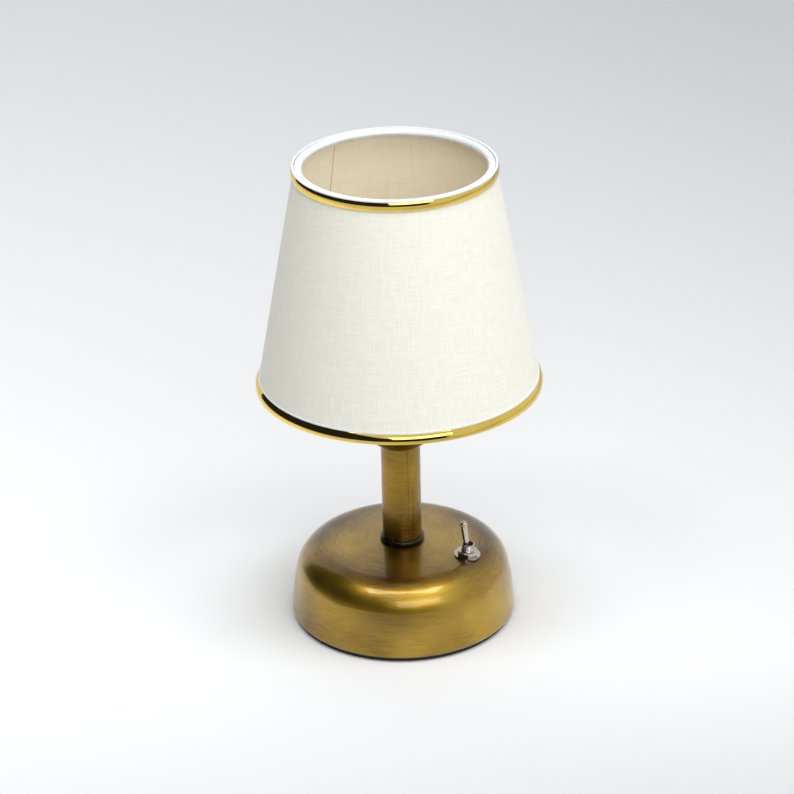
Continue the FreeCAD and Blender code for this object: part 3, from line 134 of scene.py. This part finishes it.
def noise(tree, vector, scale, detail, roughness):
    """A cloud pattern between 0 and 1, of so many waves to the unit of its vector."""
    node = put(tree, "ShaderNodeTexNoise", Vector=vector, Scale=scale, Detail=detail, Roughness=roughness)
    return node.outputs["Fac"]


def split(tree, vector):
    """The X, Y and Z of a vector."""
    return put(tree, "ShaderNodeSeparateXYZ", Vector=vector).outputs


def new_group(name, inputs, outputs):
    """An empty shader group, its own input node and its output node. Vector is its one vector socket."""
    group = bpy.data.node_groups.new(name, "ShaderNodeTree")
    for label, start in inputs.items():
        kind = "NodeSocketVector" if label == "Vector" else "NodeSocketFloat"
        socket = group.interface.new_socket(label, in_out="INPUT", socket_type=kind)
        if label != "Vector":
            socket.default_value = start
    for label in outputs:
        group.interface.new_socket(label, in_out="OUTPUT", socket_type="NodeSocketFloat")
    return group, group.nodes.new("NodeGroupInput"), group.nodes.new("NodeGroupOutput")


# %% [markdown]
# ## Turned grain
#
# Spun brass is brushed on the lathe, so its marks run round the axis and change quickly along
# the profile. A stretched picture would smear on the crown or on the wall. Here the noise is
# looked up by X and Y, scaled little, and by radius less height, scaled much. From the middle
# of the crown down to the foot, radius less height only grows, so the same grain covers the
# flat crown, the round shoulder and the wall. The group also gives broad clouds, and the dark
# ring in the patina where the crown turns into the shoulder.

# %% Turned grain group

# Waves to the metre: round the axis, along the profile, and of the clouds.
STREAK, FINENESS, CLOUD = 150.0, 3000.0, 32.0
# Each noise's detail and roughness.
GRAIN_NOISE, CLOUD_NOISE = (4.0, 0.7), (2.0, 0.5)
# The ring in the patina, in metres: its radius, its half width, and the height it fades in over.
RING_RADIUS, RING_WIDTH = 0.038, 0.011
RING_FOOT, RING_TOP = 0.029, 0.034


def turned_grain():
    """Grain is noise(x * Streak, y * Streak, (radius - height) * Fineness).

    Ring is 1 on the ring's radius and 0 beyond its half width, and only above the ring's foot.
    """
    group, source, target = new_group(
        "turned_grain", {"Vector": None, "Streak": STREAK, "Fineness": FINENESS}, ("Grain", "Cloud", "Ring"))
    place = source.outputs["Vector"]
    x, y, height = split(group, place)
    radius = calc(group, "SQRT", calc(group, "ADD", times(group, x, x), times(group, y, y)))
    profile = calc(group, "SUBTRACT", radius, height)
    vector = put(group, "ShaderNodeCombineXYZ",
                 X=times(group, x, source.outputs["Streak"]),
                 Y=times(group, y, source.outputs["Streak"]),
                 Z=times(group, profile, source.outputs["Fineness"])).outputs[0]
    distance = calc(group, "ABSOLUTE", calc(group, "SUBTRACT", radius, RING_RADIUS))
    ring = times(group, spread(group, distance, 0.0, RING_WIDTH, 1.0, 0.0),
                 spread(group, height, RING_FOOT, RING_TOP))
    for label, result in (("Grain", noise(group, vector, 1.0, *GRAIN_NOISE)),
                          ("Cloud", noise(group, place, CLOUD, *CLOUD_NOISE)),
                          ("Ring", ring)):
        feed(group, target.inputs[label], result)
    return group


TURNED_GRAIN = turned_grain()

# %% [markdown]
# ## Weave on a cone
#
# The cover is a linen weave: threads of uneven thickness in two directions, with a thicker
# place, a slub, here and there. Wave textures would give threads as even as a printed grid.
# Two stretched noises were chosen instead, one along the slope and one round the cone. The
# arctangent of X and Y gives the angle, so the threads follow the cone. It jumps on the -X
# side, and there the weave has its joint.

# %% Cone weave group

# The cone's middle radius in metres, which turns an angle into a length.
MIDDLE_RADIUS = 0.054
# Waves to the metre across and along a thread, and across and along a slub.
THREAD_ACROSS, THREAD_ALONG = 2300.0, 110.0
SLUB_ACROSS, SLUB_ALONG = 1700.0, 40.0
THREAD_NOISE, SLUB_NOISE = (2.0, 0.6), (1.0, 0.5)


def crossed(group, arc, height, density, across, along, detail, roughness):
    """Two stretched noises at right angles: fast across their threads and slow along them."""
    results = []
    for fine, coarse in ((arc, height), (height, arc)):
        vector = put(group, "ShaderNodeCombineXYZ",
                     X=times(group, fine, times(group, density, across)),
                     Y=times(group, coarse, along)).outputs[0]
        results.append(noise(group, vector, 1.0, detail, roughness))
    return results


def cone_weave():
    """Thread is the mean of the two directions' threads. Slub is the larger of their slubs."""
    group, source, target = new_group("cone_weave", {"Vector": None, "Threads": 1.0}, ("Thread", "Slub"))
    x, y, height = split(group, source.outputs["Vector"])
    arc = times(group, calc(group, "ARCTAN2", y, x), MIDDLE_RADIUS)
    density = source.outputs["Threads"]
    threads = crossed(group, arc, height, density, THREAD_ACROSS, THREAD_ALONG, *THREAD_NOISE)
    slubs = crossed(group, arc, height, density, SLUB_ACROSS, SLUB_ALONG, *SLUB_NOISE)
    feed(group, target.inputs["Thread"], times(group, calc(group, "ADD", *threads), 0.5))
    feed(group, target.inputs["Slub"], calc(group, "MAXIMUM", *slubs))
    return group


CONE_WEAVE = cone_weave()

# %% [markdown]
# ## What every material starts from
#
# Each finish is one Principled BSDF. What is the same all over the piece, such as being metal,
# is a plain number on the shader's own socket, because an exported model can only keep such a
# number there. What changes over the piece, such as a grain, comes from nodes. All patterns
# read Object coordinates, which are the lamp's own metres, so nothing slides when it moves.

# %% Material helpers

def new_material(name, **uniform):
    """A material of one Principled node, with its even values set straight on the sockets."""
    material = bpy.data.materials.new(name)
    material.use_nodes = True
    shader = material.node_tree.nodes["Principled BSDF"]
    for label, value in uniform.items():
        shader.inputs[label.replace("_", " ")].default_value = value
    return material, material.node_tree, shader


def object_coordinates(tree):
    """A point's place in the lamp's own metres."""
    return put(tree, "ShaderNodeTexCoord").outputs["Object"]


def use_group(tree, group, **inputs):
    """Place a shader group and feed it; gives its outputs."""
    node = tree.nodes.new("ShaderNodeGroup")
    node.node_tree = group
    for name, value in inputs.items():
        feed(tree, node.inputs[name], value)
    return node.outputs


def add_bump(tree, shader, height, strength, distance):
    """Roughen the surface by a height between 0 and 1, as deep as the distance in metres."""
    bump = put(tree, "ShaderNodeBump", Height=height, Strength=strength, Distance=distance)
    feed(tree, shader.inputs["Normal"], bump.outputs[0])


# %% [markdown]
# ## Antique brass
#
# Base and stem have the look of brass that was darkened, brushed back on the lathe and
# lacquered. Where the brush bit, the metal is bright, and the rest stays brown. One tone, mixed from the
# grain, the clouds and the ring, goes between a dark and a bright colour. The lacquer is the
# shader's clear coat. What the metal mirrors is left to the lights: a dark side painted into
# the brass would look right from one place only.

# %% Brass

GRAIN_SHARE, CLOUD_SHARE, RING_SHARE = 0.45, 0.55, 0.17
# The grain's bump: its strength and its depth in metres.
GRAIN_BUMP, GRAIN_DEPTH = 0.25, 0.00004
# From which grain to which, and the roughness at each: bright brushed marks are smoother.
GRAIN_RANGE, GRAIN_ROUGHNESS = (0.3, 0.7), (0.44, 0.30)
LACQUER = {"Coat_Roughness": 0.03, "Coat_IOR": 1.45}


def turned_brass(name, dark, bright, low, high, coat=0.8, **inputs):
    """Turned brass under lacquer.

    Tone is the shares of grain and cloud, less that of the ring. The colour is dark up to the
    low tone and bright from the high one.
    """
    material, tree, shader = new_material(name, Metallic=1.0, Coat_Weight=coat, **LACQUER)
    marks = use_group(tree, TURNED_GRAIN, Vector=object_coordinates(tree), **inputs)
    tone = calc(tree, "ADD", times(tree, marks["Grain"], GRAIN_SHARE),
                times(tree, marks["Cloud"], CLOUD_SHARE))
    tone = calc(tree, "SUBTRACT", tone, times(tree, marks["Ring"], RING_SHARE))
    feed(tree, shader.inputs["Base Color"], blend(tree, spread(tree, tone, low, high), dark, bright))
    feed(tree, shader.inputs["Roughness"], spread(tree, marks["Grain"], *GRAIN_RANGE, *GRAIN_ROUGHNESS))
    add_bump(tree, shader, marks["Grain"], GRAIN_BUMP, GRAIN_DEPTH)
    return material


MATERIALS = {
    "antique_brass": turned_brass(
        "antique_brass", (0.10, 0.048, 0.004), (0.58, 0.365, 0.035), low=0.27, high=0.70),
    # A darker, less glossy copy for the stem and the cup: partly their own tone, partly painted shade.
    "stem_brass_and_painted_shade": turned_brass(
        "stem_brass_and_painted_shade", (0.06, 0.030, 0.004), (0.46, 0.272, 0.031), low=0.28, high=0.70, coat=0.4),
    "dark_bronze": turned_brass(
        "dark_bronze", (0.012, 0.008, 0.005), (0.05, 0.032, 0.016), low=0.35, high=0.65, Fineness=1500.0),
}

# %% [markdown]
# ## The shade's two faces
#
# Outside is off-white linen, dull and slightly uneven. Inside is a cream lining with a coarser,
# fainter weave and one straight seam. The seam could be a strip of its own, but it is only a
# thin line that lies flat, so it is a band of angle in the lining's colour. On the real shade
# some light also passes through the cloth, and that is left out here.

# %% Shade materials

# Each bump's strength, and its depth in metres.
WEAVE_BUMP, WEAVE_DEPTH = 0.7, 0.00012
LINING_BUMP, LINING_DEPTH = 0.3, 0.0001
THREAD_SHARE, SLUB_SHARE = 0.75, 0.25
# Between which tones of thread, and of slub, the colour goes from the first to the second.
WEAVE_RANGE, LINING_RANGE = (0.40, 0.62), (0.4, 0.75)
# The lining's seam: its angle round the shade and its half width, in radians.
LINING_SEAM, SEAM_HALF_WIDTH = math.radians(127.0), 0.0035
SEAM_COLOUR, SEAM_SHARE = (0.42, 0.32, 0.20), 0.75


def shade_fabric():
    """Linen: threads and slubs set one tone, which drives both the colour and the bump."""
    material, tree, shader = new_material(
        "shade_fabric", Roughness=0.75, Specular_IOR_Level=0.25, Sheen_Weight=0.08)
    weave = use_group(tree, CONE_WEAVE, Vector=object_coordinates(tree))
    tone = calc(tree, "ADD", times(tree, weave["Thread"], THREAD_SHARE),
                times(tree, weave["Slub"], SLUB_SHARE))
    colour = blend(tree, spread(tree, tone, *WEAVE_RANGE), (0.83, 0.815, 0.715), (0.94, 0.925, 0.83))
    feed(tree, shader.inputs["Base Color"], colour)
    add_bump(tree, shader, tone, WEAVE_BUMP, WEAVE_DEPTH)
    return material


def shade_lining():
    """Cream lining: the colour goes to the seam's within a small angle of the seam."""
    material, tree, shader = new_material("shade_lining", Roughness=0.6, Specular_IOR_Level=0.3)
    place = object_coordinates(tree)
    weave = use_group(tree, CONE_WEAVE, Vector=place, Threads=0.5)
    cloth = blend(tree, spread(tree, weave["Slub"], *LINING_RANGE), (0.93, 0.85, 0.68), (0.89, 0.79, 0.60))
    x, y, _ = split(tree, place)
    off_seam = calc(tree, "ABSOLUTE", calc(tree, "SUBTRACT", calc(tree, "ARCTAN2", y, x), LINING_SEAM))
    seam = spread(tree, off_seam, SEAM_HALF_WIDTH, 2 * SEAM_HALF_WIDTH, SEAM_SHARE, 0.0)
    feed(tree, shader.inputs["Base Color"], blend(tree, seam, cloth, SEAM_COLOUR))
    add_bump(tree, shader, weave["Slub"], LINING_BUMP, LINING_DEPTH)
    return material


MATERIALS["shade_fabric"] = shade_fabric()
MATERIALS["shade_lining"] = shade_lining()

# %% [markdown]
# ## Even finishes
#
# The trims, the switch and everything inside are plain plastics, plated metals and china. A
# flat colour would look like a toy, so each goes softly between two close colours and two
# close roughnesses by one cloud. They differ only in numbers, so a table says them all.

# %% Even finishes

CLOUD_LOW, CLOUD_HIGH = 0.35, 0.65
EVEN_NOISE = (3.0, 0.6)
METAL = {"Metallic": 1.0}


def clouded(name, first, second, scale, rough, uniform):
    """A finish between two colours and two roughnesses, by one cloud of so many waves to the metre."""
    material, tree, shader = new_material(name, **uniform)
    cloud = noise(tree, object_coordinates(tree), scale, *EVEN_NOISE)
    colour = blend(tree, spread(tree, cloud, CLOUD_LOW, CLOUD_HIGH), first, second)
    feed(tree, shader.inputs["Base Color"], colour)
    feed(tree, shader.inputs["Roughness"], spread(tree, cloud, CLOUD_LOW, CLOUD_HIGH, *rough))
    return material


# Each finish: two colours, the cloud's scale, two roughnesses, and what is the same all over.
EVEN_FINISHES = {
    "gold_trim": ((0.82, 0.58, 0.12), (0.88, 0.64, 0.15), 90.0, (0.05, 0.09), METAL),
    "white_trim": ((0.72, 0.76, 0.83), (0.80, 0.83, 0.89), 60.0, (0.22, 0.32), {"Coat_Weight": 0.4}),
    "nickel": ((0.46, 0.42, 0.37), (0.60, 0.56, 0.51), 300.0, (0.10, 0.20), METAL),
    "steel": ((0.48, 0.48, 0.47), (0.60, 0.60, 0.58), 200.0, (0.30, 0.42), METAL),
    "black_plate": ((0.012, 0.012, 0.013), (0.025, 0.025, 0.026), 120.0, (0.40, 0.55), {}),
    "rubber_foot": ((0.010, 0.010, 0.010), (0.020, 0.020, 0.020), 400.0, (0.70, 0.85), {}),
    "black_plastic": ((0.018, 0.018, 0.020), (0.030, 0.030, 0.032), 250.0, (0.45, 0.55), {}),
    "cell_jacket": ((0.10, 0.11, 0.12), (0.14, 0.15, 0.16), 60.0, (0.30, 0.40), {}),
    "contact_metal": ((0.72, 0.58, 0.32), (0.82, 0.68, 0.42), 200.0, (0.28, 0.38), METAL),
    "holder_plastic": ((0.80, 0.78, 0.72), (0.85, 0.83, 0.78), 80.0, (0.38, 0.48), {}),
    "ceramic": ((0.82, 0.81, 0.77), (0.88, 0.87, 0.84), 80.0, (0.15, 0.25), {"Coat_Weight": 0.5}),
    "bulb_metal": ((0.66, 0.66, 0.65), (0.76, 0.76, 0.75), 150.0, (0.25, 0.35), METAL),
    "bulb_insulation": ((0.012, 0.012, 0.014), (0.02, 0.02, 0.022), 200.0, (0.10, 0.20), {}),
    "bulb_housing": ((0.86, 0.86, 0.85), (0.90, 0.90, 0.89), 80.0, (0.35, 0.45), {}),
    "bulb_opal": ((0.90, 0.89, 0.86), (0.94, 0.93, 0.91), 60.0, (0.18, 0.26),
                  {"Coat_Weight": 0.6, "Subsurface_Weight": 0.2, "Subsurface_Scale": 0.005}),
    "carrier_wire": ((0.84, 0.84, 0.82), (0.90, 0.90, 0.88), 120.0, (0.30, 0.42), {}),
    "wire_red": ((0.42, 0.03, 0.02), (0.50, 0.05, 0.03), 200.0, (0.40, 0.50), {}),
    "wire_white": ((0.78, 0.78, 0.76), (0.84, 0.84, 0.82), 200.0, (0.40, 0.50), {}),
    "wire_black": ((0.012, 0.012, 0.012), (0.02, 0.02, 0.02), 200.0, (0.40, 0.50), {}),
}
for name, finish in EVEN_FINISHES.items():
    MATERIALS[name] = clouded(name, *finish)

# %% [markdown]
# ## Dressing the pieces
#
# The frame's record names a material slot for each piece. The stem and the cup share the
# base's slot, but they get their own, less glossy brass, whose darker colour is partly their
# own tone and partly painted shade from the lampshade above.

# %% Dress every piece

FINISH_OF = {entry["node"]: entry["material_slot"] for entry in frame["record"]["subparts"]}
FINISH_OF.update(stem_tube="stem_brass_and_painted_shade", cup="stem_brass_and_painted_shade")
for name, piece in frame["nodes"].items():
    piece.data.materials.clear()
    piece.data.materials.append(MATERIALS[FINISH_OF[name]])
print(f"{len(frame['nodes'])} pieces dressed, from {len(MATERIALS)} finishes")

# %% [markdown]
# ## The bushing's thread
#
# The switch is clamped by nuts on a threaded bushing, and CAD keeps that bushing as a plain
# turned piece. A bump map would leave its outline smooth, so the thread is real geometry. The
# section goes round the switch's own axis as a grid: one parameter runs round, the other along
# the section. A triangle wave of height less turn cuts the groove, so it climbs one pitch in
# each turn. The axis itself comes from the record's two switch joints.

# %% Bushing thread

# Heights are measured along the switch's axis from the crown, in metres.
BUSHING_RADIUS, BUSHING_FOOT, BUSHING_TOP = 0.0030, -0.0030, 0.0060
BUSHING_CHAMFER, BUSHING_MOUTH, BUSHING_BORE = 0.0003, 0.00245, 0.0019
PIVOT_HEIGHT, THROAT_HALF = 0.0016, 0.0012
THREAD_PITCH, THREAD_DEPTH = 0.00075, 0.00032
BUSHING_SIDES, BUSHING_STEPS = 96, 96


def grid_mesh(name, points):
    """Closed surface from a grid of points that meets itself both ways, facing outwards."""
    rows, columns = points.shape[:2]
    index = np.arange(rows * columns).reshape(rows, columns)
    below, beside = np.roll(index, -1, axis=0), np.roll(index, -1, axis=1)
    faces = np.stack([index, beside, np.roll(below, -1, axis=1), below], axis=-1).reshape(-1, 4)
    mesh = bpy.data.meshes.new(name)
    mesh.from_pydata(points.reshape(-1, 3).tolist(), [], faces.tolist())
    mesh.update()
    piece = bpy.data.objects.new(name, mesh)
    bpy.context.scene.collection.objects.link(piece)
    return piece


def switch_axes():
    """The lever's pivot, and three unit axes of the switch as rows, with its own axis last."""
    joints = {joint["name"]: joint for joint in frame["record"]["behaviour"]["joints"]}
    pivot, below = (np.array(joints[name]["pos_m"]) for name in ("switch_lever", "switch_rocker"))
    up = (pivot - below) / np.linalg.norm(pivot - below)
    side = np.array(joints["switch_lever"]["axis"])
    return pivot, np.stack([np.cross(side, up), side, up])


def threaded_bushing():
    """The bushing with its thread, as a surface of turn u and place v along the section.

    r(u, v) = section(v) - depth * |2 frac(z(v) / pitch - u / 2 pi) - 1| on the outer wall.
    """
    turn = np.linspace(0.0, 2.0 * np.pi, BUSHING_SIDES, endpoint=False)
    wall = np.linspace(BUSHING_FOOT, BUSHING_TOP - BUSHING_CHAMFER, BUSHING_STEPS)
    inside = [(BUSHING_RADIUS - BUSHING_CHAMFER, BUSHING_TOP), (BUSHING_MOUTH, BUSHING_TOP),
              (BUSHING_BORE, PIVOT_HEIGHT + THROAT_HALF), (BUSHING_BORE, PIVOT_HEIGHT - THROAT_HALF),
              (BUSHING_MOUTH, BUSHING_FOOT)]
    section = np.concatenate([np.stack([np.full_like(wall, BUSHING_RADIUS), wall], axis=1), inside])
    threaded = np.arange(len(section)) < BUSHING_STEPS
    phase = section[:, 1, None] / THREAD_PITCH - turn / (2.0 * np.pi)
    ridge = np.abs(2.0 * (phase - np.floor(phase)) - 1.0)
    radius = section[:, 0, None] - THREAD_DEPTH * ridge * threaded[:, None]
    height = np.broadcast_to(section[:, 1, None], radius.shape)
    local = np.stack([radius * np.cos(turn), radius * np.sin(turn), height], axis=-1)
    pivot, axes = switch_axes()
    piece = grid_mesh("threaded_bushing", pivot - PIVOT_HEIGHT * axes[2] + local @ axes)
    piece.data.materials.append(MATERIALS["nickel"])
    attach(piece, "lamp")
    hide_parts("switch_bushing")
    return piece


bushing = threaded_bushing()
print(f"bushing: {len(bushing.data.polygons)} faces, thread pitch {THREAD_PITCH * 1000:.2f} mm")

# %% [markdown]
# ## The floor
#
# The lamp stands on a pale sheet. An endless sheet would mirror pale all round the brass, so
# this one stops short of the camera and on the left. Its own colour is painted shade: graded
# from grey in front and on the right to pale at the back and on the left, so that under the
# lights it has the soft fall of a paper backdrop.

# %% Floor

FLOOR_LEFT, FLOOR_RIGHT, FLOOR_FRONT, FLOOR_BACK = -0.75, 4.0, -0.70, 4.0
FLOOR_PAINTED_SHADE, FLOOR_PALE = (0.42, 0.427, 0.437), (0.89, 0.898, 0.905)
# Painted shade: the sheet turns paler towards the back and towards the left: between which
# places, in metres, and by what share of the way from grey to pale.
GRADE_FRONT, GRADE_BACK, GRADE_ALONG = -0.30, -0.05, 0.65
GRADE_LEFT, GRADE_RIGHT, GRADE_ACROSS = -0.25, 0.25, 0.35


def floor():
    """One rectangle, which isn't part of the lamp."""
    mesh = bpy.data.meshes.new("floor")
    corners = [(FLOOR_LEFT, FLOOR_FRONT, 0), (FLOOR_RIGHT, FLOOR_FRONT, 0),
               (FLOOR_RIGHT, FLOOR_BACK, 0), (FLOOR_LEFT, FLOOR_BACK, 0)]
    mesh.from_pydata(corners, [], [(0, 1, 2, 3)])
    plane = bpy.data.objects.new("floor", mesh)
    bpy.context.scene.collection.objects.link(plane)
    material, tree, shader = new_material("floor", Roughness=0.9, Specular_IOR_Level=0.1)
    x, y, _ = split(tree, object_coordinates(tree))
    along = spread(tree, y, GRADE_FRONT, GRADE_BACK, 0.0, GRADE_ALONG)
    across = spread(tree, x, GRADE_LEFT, GRADE_RIGHT, GRADE_ACROSS, 0.0)
    # Painted shade: the floor's colour is darker towards the front and towards the right.
    colour = blend(tree, calc(tree, "ADD", along, across), FLOOR_PAINTED_SHADE, FLOOR_PALE)
    feed(tree, shader.inputs["Base Color"], colour)
    mesh.materials.append(material)


floor()

# %% [markdown]
# ## The room
#
# Polished metal shows its surroundings, so the room matters as much as the lamps. It is a pale
# tent with a dark opening in front and on the left, which the gilt edges and the lacquer pick
# up. Light Path could show the camera a paler room than the metal sees, but then the picture
# and its reflections would disagree. So there is one room for every ray. The opening starts
# just under the horizon, and a view that looks down from behind still has a pale backdrop.

# %% Room

TENT_FRONT, TENT_BACK, DARK = (0.78, 0.80, 0.82), (0.86, 0.87, 0.88), (0.02, 0.02, 0.02)
TENT_STRENGTH = 0.95
# Places on the unit sphere of directions, where X is right, Y is back and Z is up. Each pair
# gives the two places between which a border fades.
BACK_FADE = (0.2, 0.6)
RIGHT_BORDER = (0.62, 0.56)
FOOT_BORDER = (-0.14, -0.10)
# The border between front and back is slanted, so that the opening reaches further left.
SLANT, FRONT_BORDER = 0.95, (0.06, -0.06)
# The opening's top is higher on the left than ahead.
TOP_TURN, TOP_AHEAD, TOP_LEFT = (-0.20, -0.50), 0.50, 0.90
TOP_BORDER = (0.03, -0.03)


def room():
    """Dark is the product of four borders: below the top, above the foot, in front, not too far right."""
    world = bpy.data.worlds.new("tent")
    bpy.context.scene.world = world
    world.use_nodes = True
    tree = world.node_tree
    background = tree.nodes["Background"]
    x, y, z = split(tree, put(tree, "ShaderNodeTexCoord").outputs["Generated"])
    top = spread(tree, x, *TOP_TURN, TOP_AHEAD, TOP_LEFT)
    under = spread(tree, calc(tree, "SUBTRACT", z, top), *TOP_BORDER)
    front = spread(tree, calc(tree, "ADD", y, times(tree, x, SLANT)), *FRONT_BORDER)
    left = spread(tree, x, *RIGHT_BORDER)
    above = spread(tree, z, *FOOT_BORDER)
    tent = blend(tree, spread(tree, y, *BACK_FADE), TENT_FRONT, TENT_BACK)
    colour = blend(tree, times(tree, under, front, left, above), tent, DARK)
    feed(tree, background.inputs["Color"], colour)
    feed(tree, background.inputs["Strength"], TENT_STRENGTH)


room()

# %% [markdown]
# ## Lamps
#
# Two large area lights stand for a studio's softboxes. The long narrow one overhead draws the
# highlight along the shoulder of the base. The wide one beside the camera lights the shade.
# Their powers are low enough that hardly any of the pale fabric clips to white.

# %% Lamps

# Each lamp: its place, the point it is aimed at, its two sides in metres, and its power in watts.
SOFTBOXES = {
    "overhead": ((0.0, -0.28, 1.10), (0.0, 0.0, 0.0), (1.1, 0.34), 8.5),
    "side": ((0.45, -1.45, 1.0), (0.0, 0.0, 0.12), (1.4, 0.7), 8.2),
}


def softbox(name, place, aim, size, power):
    """A rectangular area light aimed at a point."""
    lamp = bpy.data.lights.new(name, "AREA")
    lamp.shape = "RECTANGLE"
    lamp.size, lamp.size_y = size
    lamp.energy = power
    holder = bpy.data.objects.new(name, lamp)
    holder.location = place
    holder.rotation_euler = (Vector(aim) - Vector(place)).to_track_quat("-Z", "Y").to_euler()
    bpy.context.scene.collection.objects.link(holder)


for name, setting in SOFTBOXES.items():
    softbox(name, *setting)

# %% [markdown]
# ## The camera
#
# The camera stands where the photographer did. It was found from circles: a round base, stem
# and shade are ellipses in a picture, and their shapes and sizes give the camera's height,
# distance and focal length. Blender wants the lens in millimetres of a sensor, so the focal
# length in pixels is scaled by the sensor's width over the picture's.

# %% Camera

PHOTO_WIDTH, FOCAL_PIXELS, SENSOR_WIDTH = 794.0, 3000.0, 36.0
CAMERA_PLACE = (-0.001096, -1.222034, 0.697852)
CAMERA_DOWN, CAMERA_ROLL = math.radians(25.734), math.radians(-1.2)
NEAREST = 0.01


def camera():
    """A pinhole camera that looks down at the lamp from in front, rolled by a degree or so."""
    lens = bpy.data.cameras.new("camera")
    lens.sensor_width = SENSOR_WIDTH
    lens.lens = FOCAL_PIXELS / PHOTO_WIDTH * SENSOR_WIDTH
    lens.clip_start = NEAREST
    view = bpy.data.objects.new("camera", lens)
    view.matrix_world = (Matrix.Translation(CAMERA_PLACE)
                         @ Matrix.Rotation(math.pi / 2 - CAMERA_DOWN, 4, "X")
                         @ Matrix.Rotation(CAMERA_ROLL, 4, "Z"))
    bpy.context.scene.collection.objects.link(view)
    bpy.context.scene.camera = view


camera()
bpy.context.scene.view_settings.view_transform = "Standard"
